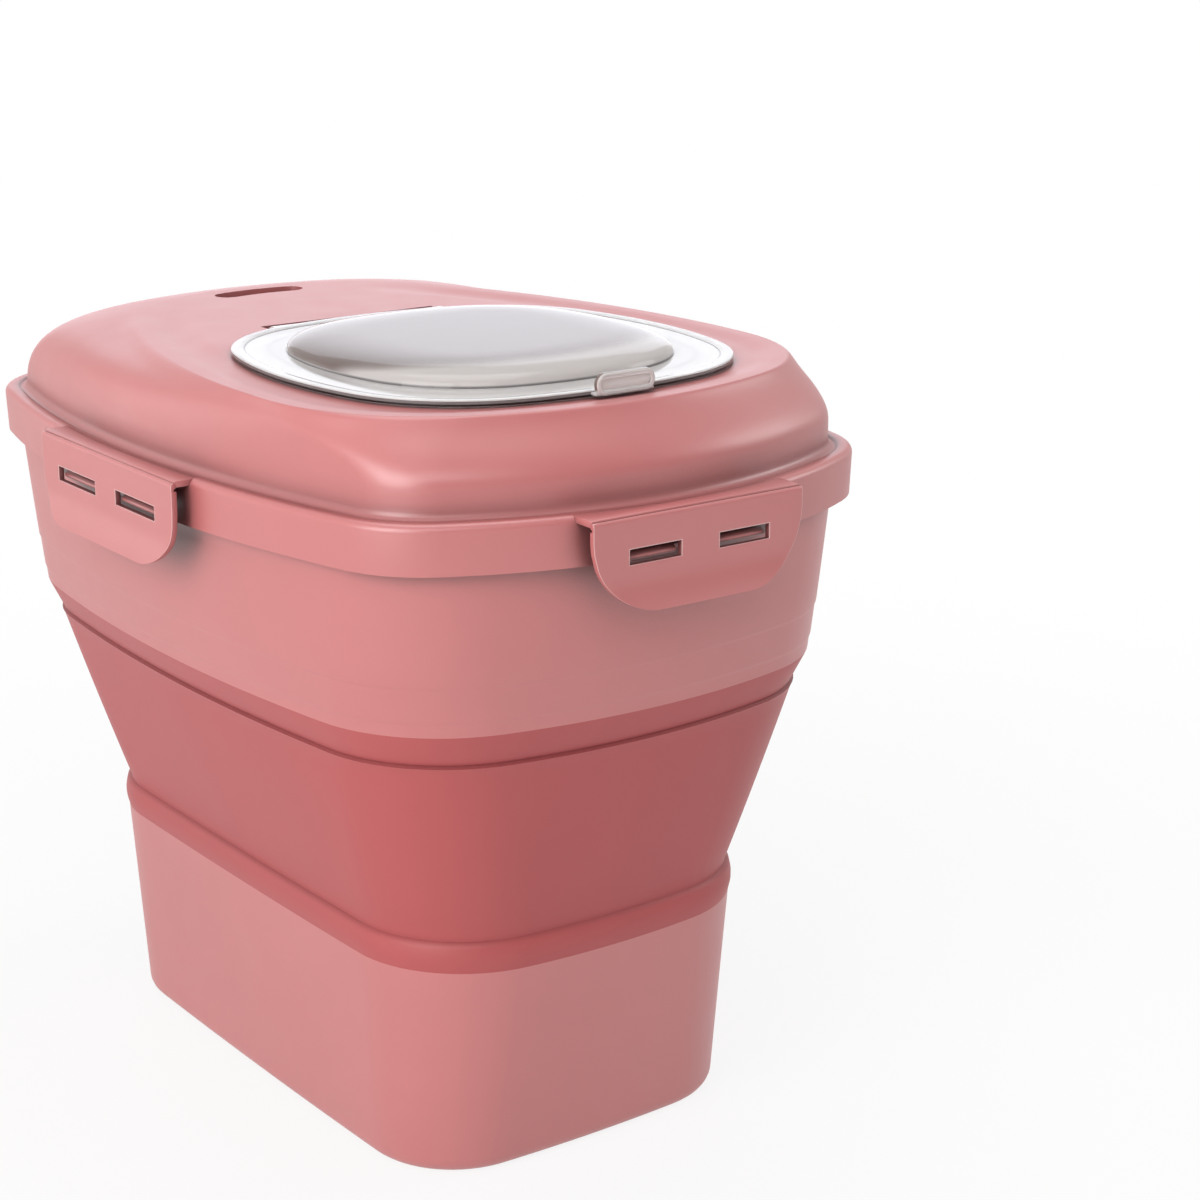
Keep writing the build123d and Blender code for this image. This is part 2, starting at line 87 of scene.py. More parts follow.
class Wire:
    """An output socket that takes part in shader maths."""

    def __init__(self, graph: Graph, socket: bpy.types.NodeSocket) -> None:
        """Keeps the socket and the graph that it belongs to."""
        self.graph = graph
        self.socket = socket

    def math(self, operation: str, first: Operand, second: Operand = 0.0, clamp: bool = False) -> Wire:
        """Adds a Math node.

        Args:
            operation: The Math node's operation.
            first: Its first value.
            second: Its second value.
            clamp: Whether the result stays between 0 and 1.

        Returns:
            The node's result.
        """
        return self.graph.node("ShaderNodeMath", {"operation": operation, "use_clamp": clamp}, {0: first, 1: second})

    def output(self, name: str) -> Wire:
        """Another output of the same node."""
        return Wire(self.graph, self.socket.node.outputs[name])

    def clamped(self) -> Wire:
        """The value held between 0 and 1."""
        return self.math("ADD", self, 0.0, clamp=True)

    def step(self, low: float, high: float) -> Wire:
        """A smooth ramp that is 0 below low and 1 above high."""
        settings = {"interpolation_type": "SMOOTHSTEP"}
        return self.graph.node("ShaderNodeMapRange", settings, {"Value": self, "From Min": low, "From Max": high})

    def __add__(self, other: Operand) -> Wire:
        """Sum."""
        return self.math("ADD", self, other)

    def __radd__(self, other: Operand) -> Wire:
        """Sum with the number first."""
        return self.math("ADD", other, self)

    def __sub__(self, other: Operand) -> Wire:
        """Difference."""
        return self.math("SUBTRACT", self, other)

    def __rsub__(self, other: Operand) -> Wire:
        """Difference with the number first."""
        return self.math("SUBTRACT", other, self)

    def __mul__(self, other: Operand) -> Wire:
        """Product."""
        return self.math("MULTIPLY", self, other)

    def __rmul__(self, other: Operand) -> Wire:
        """Product with the number first."""
        return self.math("MULTIPLY", other, self)


Operand = Union[Wire, Number]


class Graph:
    """The node tree of one material or of the world."""

    def __init__(self, tree: bpy.types.NodeTree) -> None:
        """Empties the tree."""
        self.tree = tree
        self.tree.nodes.clear()

    def node(self, kind: str, settings: Optional[Mapping[str, Any]] = None,
             sockets: Optional[Mapping[Union[int, str], Any]] = None, output: Union[int, str] = 0) -> Wire:
        """Adds a node.

        Args:
            kind: The node's type.
            settings: Its properties, set first.
            sockets: Values or wires of its inputs, by name or number.
            output: The output that the wire stands for.

        Returns:
            That output.
        """
        node = self.tree.nodes.new(kind)
        for name, value in (settings or {}).items():
            setattr(node, name, value)
        for name, value in (sockets or {}).items():
            if isinstance(value, Wire):
                self.tree.links.new(value.socket, node.inputs[name])
            else:
                node.inputs[name].default_value = value
        return Wire(self, node.outputs[output]) if node.outputs else Wire(self, node.inputs[0])

    def place(self) -> Wire:
        """Object coordinates, which are the frame's own metres."""
        return self.node("ShaderNodeTexCoord", output="Object")

    def lines(self) -> Wire:
        """The lines that are drawn on a mesh, 1 on them and 0 away from them."""
        return self.node("ShaderNodeAttribute", {"attribute_name": LINES}, output="Fac")

    def hollow(self, reach: float, low: float, high: float) -> Wire:
        """How open the place is to its surroundings, the mask by which shade is painted into hollows and under
        overhangs.

        Args:
            reach: How far away a surface still closes it in.
            low: Open share that counts as closed.
            high: Open share that counts as open.

        Returns:
            0 in a hollow or under an overhang, and 1 in the open and at the foot.
        """
        # The open share drives the painted shade in hollows and under overhangs.
        open_share = self.node("ShaderNodeAmbientOcclusion", {"samples": 8}, {"Distance": reach}, "AO")
        height = self.axes(self.place(), "Z")
        return 1 - (1 - open_share.step(low, high)) * height.step(*UNSHADED_FOOT)

    def noise(self, scale: float, detail: float = 2.0, stretch: Optional[Triple] = None) -> Wire:
        """Noise over the object.

        Args:
            scale: Waves to a metre.
            detail: Octaves of finer noise.
            stretch: Scale along each axis, where it isn't even.

        Returns:
            The noise, about 0.5 in the mean.
        """
        vector = self.place()
        if stretch:
            vector = self.node("ShaderNodeMapping", sockets={"Vector": vector, "Scale": stretch})
        return self.node("ShaderNodeTexNoise", sockets={"Vector": vector, "Scale": scale, "Detail": detail})

    def mix(self, factor: Operand, first: Union[Wire, Colour], second: Union[Wire, Colour]) -> Wire:
        """Mixes two colours.

        Args:
            factor: Share of the second colour.
            first: The first colour.
            second: The second colour.

        Returns:
            The mixed colour.
        """
        def whole(colour: Union[Wire, Colour]) -> Union[Wire, tuple[float, ...]]:
            """A colour with its fourth value."""
            return colour if isinstance(colour, Wire) else (*colour, 1.0)

        return self.node("ShaderNodeMix", {"data_type": "RGBA"}, {0: factor, 6: whole(first), 7: whole(second)}, 2)

    def bump(self, height: Wire, depth: float) -> Wire:
        """The normal bumped by a height from 0 to 1 that stands for a depth in metres."""
        return self.node("ShaderNodeBump", sockets={"Height": height, "Distance": depth, "Strength": 1.0})

    def axes(self, vector: Wire, axis: str) -> Wire:
        """One axis of a vector; the wire's other outputs are the other axes."""
        return self.node("ShaderNodeSeparateXYZ", sockets={0: vector}, output=axis)

    def surface(self, sockets: Mapping[Union[int, str], Any]) -> None:
        """Ends the tree in a Principled surface with these inputs."""
        shader = self.node("ShaderNodeBsdfPrincipled", sockets=sockets)
        self.node("ShaderNodeOutputMaterial", sockets={"Surface": shader})


def shade(colour: Colour, factor: float) -> Colour:
    """A colour made lighter or darker."""
    return tuple(min(channel * factor, 1.0) for channel in colour)


@dataclass(frozen=True)
class Finish:
    """A finish, with its name and its main colour."""

    name: str
    colour: Colour

    def material(self) -> bpy.types.Material:
        """Builds the finish.

        Returns:
            The material.
        """
        material = bpy.data.materials.new(self.name)
        material.use_nodes = True
        self.paint(Graph(material.node_tree))
        return material

    def paint(self, graph: Graph) -> None:
        """Adds the finish's nodes.

        Args:
            graph: The material's empty tree.
        """
        raise NotImplementedError

    def tones(self, graph: Graph, share: Wire, low: float, high: float) -> Wire:
        """The colour between a darker tone and a lighter one."""
        return graph.mix(share, shade(self.colour, low), shade(self.colour, high))


@dataclass(frozen=True)
class MouldedPlastic(Finish):
    """Satin polypropylene: faint flow mottle, fine grain, a soft sheen, painted shade in hollows and under overhangs,
    and painted highlights along drawn edges.
    """

    # Painted highlight: the paler colour and its share along the drawn edges, where thin edges catch light.
    pale: Colour = (0.86, 0.62, 0.61)
    highlight_share: float = 0.7
    highlight_span: Span = (0.86, 1.0)
    # Painted shade: the colour's share left in hollows and under overhangs, and the reach and open shares of its mask.
    depth: float = 0.3
    hollow: Triple = (0.035, 0.35, 0.95)
    roughness: float = 0.4
    unevenness: float = 0.1
    mottle: float = 0.05
    grain_depth: float = 0.000004
    ior: float = 1.9

    def paint(self, graph: Graph) -> None:
        """Adds the finish's nodes."""
        flow = graph.noise(11.0, 3.0, (1.0, 1.0, 1.7))
        grain = graph.noise(260.0, 2.0)
        haze = graph.noise(60.0, 4.0)
        tint = self.tones(graph, flow, 1 - self.mottle, 1 + self.mottle)
        # Painted shade: darker in hollows, creases and under overhangs.
        tint = graph.mix(graph.hollow(*self.hollow), shade(self.colour, self.depth), tint)
        graph.surface({
            # Painted highlight: paler along the drawn edges, where thin edges catch light.
            "Base Color": graph.mix(graph.lines().step(*self.highlight_span) * self.highlight_share, tint, self.pale),
            "Roughness": self.roughness + (haze - 0.5) * self.unevenness,
            "Normal": graph.bump(grain, self.grain_depth),
            "IOR": self.ior,
        })


@dataclass(frozen=True)
class SoftElastomer(Finish):
    """Matt moulded elastomer with a powdery bloom and painted shade in its hollows and under overhangs."""

    roughness: float = 0.5
    unevenness: float = 0.16
    bloom: float = 0.08
    # Painted shade: the colour's share left in hollows and under overhangs, and the reach and open shares of its mask.
    depth: float = 0.45
    hollow: Triple = (0.03, 0.45, 0.95)
    grain_depth: float = 0.00001
    ior: float = 1.5

    def paint(self, graph: Graph) -> None:
        """Adds the finish's nodes."""
        cloud = graph.noise(16.0, 4.0, (1.0, 1.0, 0.6))
        grain = graph.noise(300.0, 2.0)
        tint = self.tones(graph, cloud, 1 - self.bloom, 1 + self.bloom)
        graph.surface({
            # Painted shade: darker in hollows, creases and under overhangs.
            "Base Color": graph.mix(graph.hollow(*self.hollow), shade(self.colour, self.depth), tint),
            "Roughness": self.roughness + (cloud - 0.5) * self.unevenness,
            "Normal": graph.bump(grain, self.grain_depth),
            "IOR": self.ior,
        })


@dataclass(frozen=True)
class ClearPlastic(Finish):
    """Polished clear moulding with painted light: a crown painted grey for the shaded inside seen through it, a
    painted pale reflection on its front-facing slope, a painted shadow on the rim's steep lower faces and dark lines
    of painted shade along the flange.
    """

    # Painted shade and reflection: the crown's grey stands for the shaded inside seen through it, and its front-facing
    # slope is painted pale as a reflection.
    crown_shade: Colour = (0.28, 0.21, 0.19)
    slope_reflection: Colour = (0.88, 0.83, 0.81)
    # Painted shadow: the near-black of the rim's steep lower faces.
    edge: Colour = (0.02, 0.017, 0.017)
    # Painted shade: the dark lines along the flange's drawn edges.
    line: Colour = (0.24, 0.22, 0.22)
    lens_height: Span = (0.2700, 0.2705)
    lens_lean: Span = (0.03, 0.16)
    shadow_height: Span = (0.2685, 0.2688)
    shadow_front: Span = (-0.1283, -0.1277)
    shadow_steep: Span = (0.2, 0.5)
    line_shade_span: Span = (0.1, 1.0)
    roughness: float = 0.06
    unevenness: float = 0.04
    haze: float = 0.03
    ripple_depth: float = 0.00001
    clearness: float = 0.45
    ior: float = 1.33

    def paint(self, graph: Graph) -> None:
        """Adds the finish's nodes."""
        haze = graph.noise(40.0, 3.0)
        ripple = graph.noise(70.0, 1.0)
        height = graph.axes(graph.place(), "Z")
        upward = graph.axes(graph.node("ShaderNodeTexCoord", output="Normal"), "Z")
        # Painted shadow: the steep lower faces of the rim are near-black.
        rim = (1 - height.step(*self.shadow_height)) * (1 - (upward * upward).step(*self.shadow_steep))
        rim = rim * height.output("Y").step(*self.shadow_front)
        body = self.tones(graph, haze, 1 - self.haze, 1 + self.haze)
        # The crown: painted grey shade, with a painted pale reflection on its front-facing slope.
        crown_shade = graph.mix((0 - upward.output("Y")).step(*self.lens_lean), self.crown_shade, self.slope_reflection)
        # Dark lines of painted shade along the drawn edges, and the rim's painted shadow.
        flange = graph.mix(rim, graph.mix(graph.lines().step(*self.line_shade_span), body, self.line), self.edge)
        graph.surface({
            "Base Color": graph.mix(height.step(*self.lens_height), flange, crown_shade),
            "Roughness": self.roughness + (haze - 0.5) * self.unevenness,
            "Normal": graph.bump(ripple, self.ripple_depth),
            "Transmission Weight": self.clearness,
            "IOR": self.ior,
        })


@dataclass(frozen=True)
class Silicone(Finish):
    """Milky soft silicone of the seals."""

    roughness: float = 0.45
    unevenness: float = 0.1
    milkiness: float = 0.2

    def paint(self, graph: Graph) -> None:
        """Adds the finish's nodes."""
        cloud = graph.noise(50.0, 3.0)
        graph.surface({
            "Base Color": self.tones(graph, cloud, 0.92, 1.0),
            "Roughness": self.roughness + (cloud - 0.5) * self.unevenness,
            "Subsurface Weight": self.milkiness,
        })


@dataclass(frozen=True)
class StudioFloor(Finish):
    """Pale floor that keeps the shadow and shows white beside it."""

    near_glow: float = 0.86
    reach: Span = (0.12, 0.75)

    def paint(self, graph: Graph) -> None:
        """Adds the finish's nodes."""
        speck = graph.noise(30.0, 2.0)
        path = graph.node("ShaderNodeLightPath", output="Is Camera Ray")
        seen = (path + path.output("Is Glossy Ray") + path.output("Is Transmission Ray")).clamped()
        matt = graph.node("ShaderNodeBsdfDiffuse", sockets={"Color": self.tones(graph, speck, 0.99, 1.0)})
        white = graph.node("ShaderNodeEmission", sockets={"Color": (1.0, 1.0, 1.0, 1.0), "Strength": 1.0})
        away = graph.node("ShaderNodeVectorMath", {"operation": "LENGTH"}, {0: graph.place()}, "Value")
        glow = self.near_glow + away.step(*self.reach) * (1 - self.near_glow)
        both = graph.node("ShaderNodeMixShader", sockets={0: seen * glow, 1: matt, 2: white})
        graph.node("ShaderNodeOutputMaterial", sockets={"Surface": both})


class Slot(Enum):
    """The record's material slots."""

    PINK = "pink_plastic"
    SOFT = "soft_wall"
    SEAL = "seal"
    CLEAR = "clear_plastic"


FINISHES = {
    Slot.PINK: MouldedPlastic("dusty_pink_plastic", (0.53, 0.15, 0.147)),
    Slot.SOFT: SoftElastomer("deep_rose_elastomer", (0.44, 0.085, 0.088)),
    Slot.SEAL: Silicone("milky_silicone", (0.82, 0.79, 0.78)),
    Slot.CLEAR: ClearPlastic("clear_plastic", (0.9, 0.88, 0.87)),
}


@dataclass(frozen=True)
class Oval:
    """Plan outline of eight tangent arcs: two long sides, a front, a back and four corners."""

    half_width: float
    front: float
    back: float
    side_radius: float
    front_radius: float
    back_radius: float
    front_corner: float
    back_corner: float
    waist: float = 0.0

    END_STEPS = 12
    CORNER_STEPS = 16
    SIDE_STEPS = 26

    @classmethod
    def even(cls, half_width: float, half_length: float, side_radius: float, end_radius: float,
             corner: float) -> Oval:
        """An outline that is alike at the front and the back."""
        return cls(half_width, half_length, half_length, side_radius, end_radius, end_radius, corner, corner)

    def inset(self, gap: float) -> Oval:
        """The parallel outline that lies gap inside this one.

        Args:
            gap: How far inside it lies.

        Returns:
            The outline.
        """
        return Oval(self.half_width - gap, self.front - gap, self.back - gap, self.side_radius - gap,
                    self.front_radius - gap, self.back_radius - gap, self.front_corner - gap,
                    self.back_corner - gap, self.waist)

    def towards(self, other: Oval, front_share: float, side_share: Optional[float] = None,
                back_share: Optional[float] = None) -> Oval:
        """An outline part of the way to another one.

        Args:
            other: The outline at a share of 1.
            front_share: Share at the front.
            side_share: Share at the sides, where it differs.
            back_share: Share at the back, where it differs.

        Returns:
            The outline between the two.
        """
        side_share = front_share if side_share is None else side_share
        back_share = front_share if back_share is None else back_share

        def mix(name: str, share: float) -> float:
            """A length part of the way."""
            return getattr(self, name) * (1 - share) + getattr(other, name) * share

        def bend(name: str, share: float) -> float:
            """A radius part of the way, by its curvature."""
            return 1 / ((1 - share) / getattr(self, name) + share / getattr(other, name))

        return Oval(mix("half_width", side_share), mix("front", front_share), mix("back", back_share),
                    bend("side_radius", side_share), bend("front_radius", front_share),
                    bend("back_radius", back_share), mix("front_corner", front_share),
                    mix("back_corner", back_share), mix("waist", side_share))

    def _corner(self, end: int) -> tuple[Vector, float, float]:
        """Finds a right-hand corner.

        Args:
            end: -1 for the front, 1 for the back.

        Returns:
            The corner's centre, and the directions in which it meets the side and the end.
        """
        reach, cap_radius, radius = ((self.front, self.front_radius, self.front_corner) if end < 0 else
                                     (self.back, self.back_radius, self.back_corner))
        side = Vector((self.half_width - self.side_radius, self.waist))
        cap = Vector((0.0, end * (reach - cap_radius)))
        side_gap, cap_gap = self.side_radius - radius, cap_radius - radius
        span = cap - side
        along = (side_gap ** 2 - cap_gap ** 2 + span.length_squared) / (2 * span.length)
        unit = span.normalized()
        foot = side + unit * along
        normal = Vector((unit.y, -unit.x)) * math.sqrt(max(side_gap ** 2 - along ** 2, 0.0))
        centre = max((foot + normal, foot - normal), key=lambda point: point.x + end * point.y)
        to_side, to_cap = centre - side, centre - cap
        return centre, math.atan2(to_side.y, to_side.x), math.atan2(to_cap.y, to_cap.x)

    def points(self) -> list[Vector]:
        """Points of the outline, anticlockwise from the middle of the front.

        Returns:
            As many points for every outline.
        """
        front_centre, front_side, front_cap = self._corner(-1)
        back_centre, back_side, back_cap = self._corner(1)
        runs = (
            (Vector((0.0, self.front_radius - self.front)), self.front_radius, -math.pi / 2, front_cap,
             self.END_STEPS),
            (front_centre, self.front_corner, front_cap, front_side, self.CORNER_STEPS),
            (Vector((self.half_width - self.side_radius, self.waist)), self.side_radius, front_side, back_side,
             self.SIDE_STEPS),
            (back_centre, self.back_corner, back_side, back_cap, self.CORNER_STEPS),
            (Vector((0.0, self.back - self.back_radius)), self.back_radius, back_cap, math.pi / 2, self.END_STEPS),
        )
        right = []
        for centre, radius, start, stop, steps in runs:
            for step in range(steps):
                angle = start + (stop - start) * step / steps
                right.append(centre + radius * Vector((math.cos(angle), math.sin(angle))))
        left = [Vector((-point.x, point.y)) for point in reversed(right[1:])]
        return right + [Vector((0.0, self.back))] + left


Level = tuple[float, Oval]
Ring = list[bmesh.types.BMVert]


def smoothstep(share: float) -> float:
    """A share eased at both ends."""
    return share * share * (3 - 2 * share)


def quarter_round(outline: Oval, radius: float, height: float, direction: int, steps: int = 6) -> list[Level]:
    """Levels of a rounded edge.

    Args:
        outline: The outline where the edge is still upright.
        radius: Radius of the edge.
        height: Height of that outline.
        direction: 1 turns inwards on the way up, -1 on the way down.
        steps: Levels of the edge.

    Returns:
        The levels, from the upright end.
    """
    levels = []
    for step in range(steps + 1):
        angle = math.pi / 2 * step / steps
        levels.append((height + direction * radius * math.sin(angle), outline.inset(radius * (1 - math.cos(angle)))))
    return levels


class Skin:
    """A mesh that is drawn through rings of points."""

    def __init__(self, name: str) -> None:
        """Starts an empty mesh.

        Args:
            name: Name of the piece to come.
        """
        self.name = name
        self.mesh = bmesh.new()
        self.lines = self.mesh.verts.layers.float.new(LINES)

    def ring(self, points: Iterable[Vector]) -> Ring:
        """Adds one ring of vertices."""
        return [self.mesh.verts.new(point) for point in points]

    def bridge(self, first: Ring, second: Ring) -> None:
        """Joins two rings with quads."""
        for corners in zip(first, first[1:] + first[:1], second[1:] + second[:1], second):
            self.mesh.faces.new(corners)

    def stack(self, rings: list[Ring], closed: bool = False, capped: bool = False) -> list[Ring]:
        """Draws the skin through rings.

        Args:
            rings: The rings in order.
            closed: Whether the last ring joins the first.
            capped: Whether the first and the last ring are filled.

        Returns:
            The rings.
        """
        for first, second in zip(rings, rings[1:]):
            self.bridge(first, second)
        if closed:
            self.bridge(rings[-1], rings[0])
        for ring in (rings[0], rings[-1]) if capped else ():
            self.mesh.faces.new(ring)
        return rings

    def through(self, levels: Sequence[Level], closed: bool = False, capped: bool = False) -> list[Ring]:
        """Draws the skin through outlines at heights, as stack does through rings."""
        return self.stack([self.ring(Vector((point.x, point.y, height)) for point in outline.points())
                           for height, outline in levels], closed, capped)

    def piece(self) -> bpy.types.Object:
        """Turns the skin into an object.

        Returns:
            The object, in the frame's own place.
        """
        bmesh.ops.recalc_face_normals(self.mesh, faces=self.mesh.faces)
        data = bpy.data.meshes.new(self.name)
        self.mesh.to_mesh(data)
        self.mesh.free()
        thing = bpy.data.objects.new(self.name, data)
        bpy.context.scene.collection.objects.link(thing)
        return thing


def settle(thing: bpy.types.Object, sharp: float = 32.0) -> None:
    """Applies a piece's modifiers and shades it smooth.

    Args:
        thing: The piece.
        sharp: Angle in degrees above which an edge stays sharp.
    """
    bpy.context.view_layer.update()
    made = bpy.data.meshes.new_from_object(thing.evaluated_get(bpy.context.evaluated_depsgraph_get()))
    thing.modifiers.clear()
    thing.data = made
    made.shade_smooth()
    made.set_sharp_from_angle(angle=math.radians(sharp))


def soften(thing: bpy.types.Object, width: float, segments: int = 2, limit: float = 35.0) -> None:
    """Rounds the sharp edges of a piece and settles it.

    Args:
        thing: The piece.
        width: Width of the rounding.
        segments: Steps of the rounding.
        limit: Angle in degrees above which an edge is rounded.
    """
    bevel = thing.modifiers.new("soft_edges", "BEVEL")
    bevel.width = width
    bevel.segments = segments
    bevel.limit_method = "ANGLE"
    bevel.angle_limit = math.radians(limit)
    bevel.use_clamp_overlap = True
    settle(thing)


def carve(thing: bpy.types.Object, tools: Sequence[bpy.types.Object]) -> None:
    """Cuts tools out of a piece, settles it and deletes the tools.

    Args:
        thing: The piece.
        tools: Closed meshes.
    """
    for tool in tools:
        change = thing.modifiers.new("carve", "BOOLEAN")
        change.operation = "DIFFERENCE"
        change.solver = "MANIFOLD"
        change.object = tool
    settle(thing)
    for tool in tools:
        bpy.data.objects.remove(tool)


def turned(angle: float) -> Matrix:
    """A turn in degrees about the frame's upright axis."""
    return Matrix.Rotation(math.radians(angle), 4, "Z")


def box_tool(low: Sequence[float], high: Sequence[float], turn: float = 0.0) -> bpy.types.Object:
    """A box between two corners, turned about the frame's upright axis.

    Args:
        low: Lowest corner.
        high: Highest corner.
        turn: Turn in degrees.

    Returns:
        The box.
    """
    skin = Skin("tool")
    middle = (Vector(low) + Vector(high)) / 2
    size = Vector(high) - Vector(low)
    bmesh.ops.create_cube(skin.mesh, size=1.0)
    place = turned(turn) @ Matrix.Translation(middle) @ Matrix.Diagonal((*size, 1.0))
    bmesh.ops.transform(skin.mesh, matrix=place, verts=skin.mesh.verts)
    return skin.piece()


def join(thing: bpy.types.Object, others: Sequence[bpy.types.Object]) -> None:
    """Adds the meshes of other pieces to a piece, and deletes those pieces.

    Args:
        thing: The piece that stays.
        others: The pieces that go into it.
    """
    mesh = bmesh.new()
    for part in (thing, *others):
        mesh.from_mesh(part.data)
    mesh.to_mesh(thing.data)
    mesh.free()
    for part in others:
        bpy.data.objects.remove(part)


def bar(skin: Skin, profile: Sequence[tuple[float, float]], low: float, high: float) -> None:
    """Adds a bar along X to a skin.

    Args:
        skin: The skin.
        profile: Places and heights round its section.
        low: Where it starts.
        high: Where it ends.
    """
    skin.stack([skin.ring(Vector((x, y, z)) for y, z in profile) for x in (low, high)], capped=True)


def circle(radius: float, y: float, z: float, steps: int = 20) -> list[tuple[float, float]]:
    """Places and heights round a circle."""
    angles = [math.tau * step / steps for step in range(steps)]
    return [(y + radius * math.cos(angle), z + radius * math.sin(angle)) for angle in angles]


def dress(thing: bpy.types.Object, slot: Slot, materials: Mapping[Slot, bpy.types.Material]) -> None:
    """Gives a piece or a CAD node the finish of a slot."""
    thing.data.materials.clear()
    thing.data.materials.append(materials[slot])


@dataclass(frozen=True)
class Heights:
    """Levels of the container above the floor."""

    tub_top: float
    collar_bottom: float
    rim_top: float
    skirt_bottom: float
    ridge: float
    flange_drop: float = 0.0281
    flange_thick: float = 0.0025
    panel_thick: float = 0.004

    @classmethod
    def from_frame(cls) -> Heights:
        """Reads the levels that the frame's nodes give.

        Returns:
            The levels.
        """
        collar_low, collar_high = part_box("collar")
        lid_low, lid_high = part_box("lid")
        return cls(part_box("tub")[1].z, collar_low.z, collar_high.z, lid_low.z, lid_high.z)

    @property
    def flange_top(self) -> float:
        """Top of the lid's flange."""
        return self.ridge - self.flange_drop

    @property
    def flange_under(self) -> float:
        """Underside of the lid's flange."""
        return self.flange_top - self.flange_thick

    @property
    def panel_under(self) -> float:
        """Underside of the lid's top."""
        return self.ridge - self.panel_thick


@dataclass(frozen=True)
class Outlines:
    """Plan outlines of the container, outermost first."""

    skirt: Oval = Oval.even(0.115, 0.165, 0.48, 0.17, 0.04)
    collar_upper: Oval = Oval.even(0.1084, 0.155, 0.56, 0.2, 0.05)
    collar_lower: Oval = Oval.even(0.102, 0.1482, 0.7, 0.24, 0.052)
    tub_upper: Oval = Oval.even(0.0744, 0.125, 4.0, 0.3, 0.044)
    tub_lower: Oval = Oval.even(0.0702, 0.1136, 4.0, 0.7, 0.034)
    ridge: Oval = Oval(0.0978, 0.142, 0.1175, 0.318, 0.156, 0.125, 0.064, 0.066, -0.056)
    window: Oval = Oval(0.0785, 0.1275, 0.0325, 0.15, 0.16, 0.16, 0.052, 0.052, -0.049)
    crown: Oval = Oval(0.0615, 0.11, 0.0155, 0.112, 0.112, 0.112, 0.046, 0.046, -0.047)


@dataclass
class Tub:
    """Stiff base with a rounded bottom edge and a foot rim."""

    heights: Heights
    outlines: Outlines
    wall: float = WALL
    floor: float = 0.0036
    bottom_edge: float = 0.006
    foot_width: float = 0.011
    foot_height: float = 0.0012

    def outline(self, height: float) -> Oval:
        """Outer outline of the drafted wall at a height."""
        return self.outlines.tub_lower.towards(self.outlines.tub_upper, height / self.heights.tub_top)

    def build(self, materials: Mapping[Slot, bpy.types.Material]) -> bpy.types.Object:
        """Builds and dresses the tub.

        Args:
            materials: Finishes by slot.

        Returns:
            The tub.
        """
        top = self.heights.tub_top
        inner_edge = self.bottom_edge - self.wall
        inner_height = self.floor + inner_edge
        hollow = self.outlines.tub_lower.inset(self.foot_width)
        outside = quarter_round(self.outline(self.bottom_edge), self.bottom_edge, self.bottom_edge, -1)
        inside = quarter_round(self.outline(inner_height).inset(self.wall), inner_edge, inner_height, -1)
        levels = [(self.foot_height, hollow.inset(self.foot_height)), (0.0, hollow)] + outside[::-1]
        levels += [(top * share, self.outline(top * share)) for share in (0.3, 0.6, 0.9)]
        levels += [(top, self.outline(top)), (top, self.outline(top).inset(self.wall))] + inside
        skin = Skin("tub_shell")
        skin.through(levels, capped=True)
        tub = skin.piece()
        settle(tub)
        dress(tub, Slot.PINK, materials)
        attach(tub, "tub")
        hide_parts("tub")
        return tub


@dataclass
class FoldingWall:
    """Soft wall between tub and collar: cuff, long panel, crease bead and upper band."""

    heights: Heights
    outlines: Outlines
    wall: float = WALL
    soft_wall: float = 0.0026
    cuff: float = 0.0098
    bulge: float = 0.0009
    nick: float = 0.0013
    nick_height: float = 0.001
    crease_drop: float = 0.0112
    crease_share: float = 0.21
    bead: float = 0.0005
    bead_height: float = 0.0008
    band_share: float = 0.94
    cuff_steps: int = 7
    panel_steps: int = 14
    fold_start: float = 0.0886

    def build(self, materials: Mapping[Slot, bpy.types.Material]) -> bpy.types.Object:
        """Builds and dresses the wall between the tub and the collar.

        Args:
            materials: Finishes by slot.

        Returns:
            The wall.
        """
        low, high = self.heights.tub_top, self.heights.collar_bottom
        tub, collar = self.outlines.tub_upper, self.outlines.collar_lower
        crease = collar.towards(tub, self.crease_share)
        crease_height = high - self.crease_drop
        cuff_top = low + self.cuff
        panel_low = cuff_top + 2 * self.nick_height
        panel_high = crease_height - 2 * self.bead_height
        levels = [(low, tub)]
        for step in range(1, self.cuff_steps):
            share = step / self.cuff_steps
            levels.append((low + self.cuff * share, tub.inset(-self.bulge * math.sin(math.pi * share))))
        levels += [(cuff_top, tub), (cuff_top + self.nick_height, tub.inset(self.nick))]
        start = tub.inset(self.nick)
        for step in range(self.panel_steps + 1):
            share = step / self.panel_steps
            levels.append((panel_low + (panel_high - panel_low) * share, start.towards(crease, share)))
        levels += [(crease_height - self.bead_height, crease.inset(-self.bead)),
                   (crease_height, crease.inset(self.bead)), (crease_height + self.bead_height, crease),
                   (high - self.bead_height, crease.towards(collar, self.band_share)),
                   (high, collar), (high, collar.inset(self.wall)),
                   (crease_height, crease.inset(self.bead + self.soft_wall))]
        for step in range(self.panel_steps, -1, -1):
            share = step / self.panel_steps
            levels.append((panel_low + (panel_high - panel_low) * share,
                           start.towards(crease, share).inset(self.soft_wall)))
        levels.append((low, tub.inset(self.wall)))
        skin = Skin("folding_wall")
        skin.through(levels, closed=True)
        wall = skin.piece()
        settle(wall, 50.0)
        dress(wall, Slot.SOFT, materials)
        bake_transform(wall)
        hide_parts("bellows")
        return wall


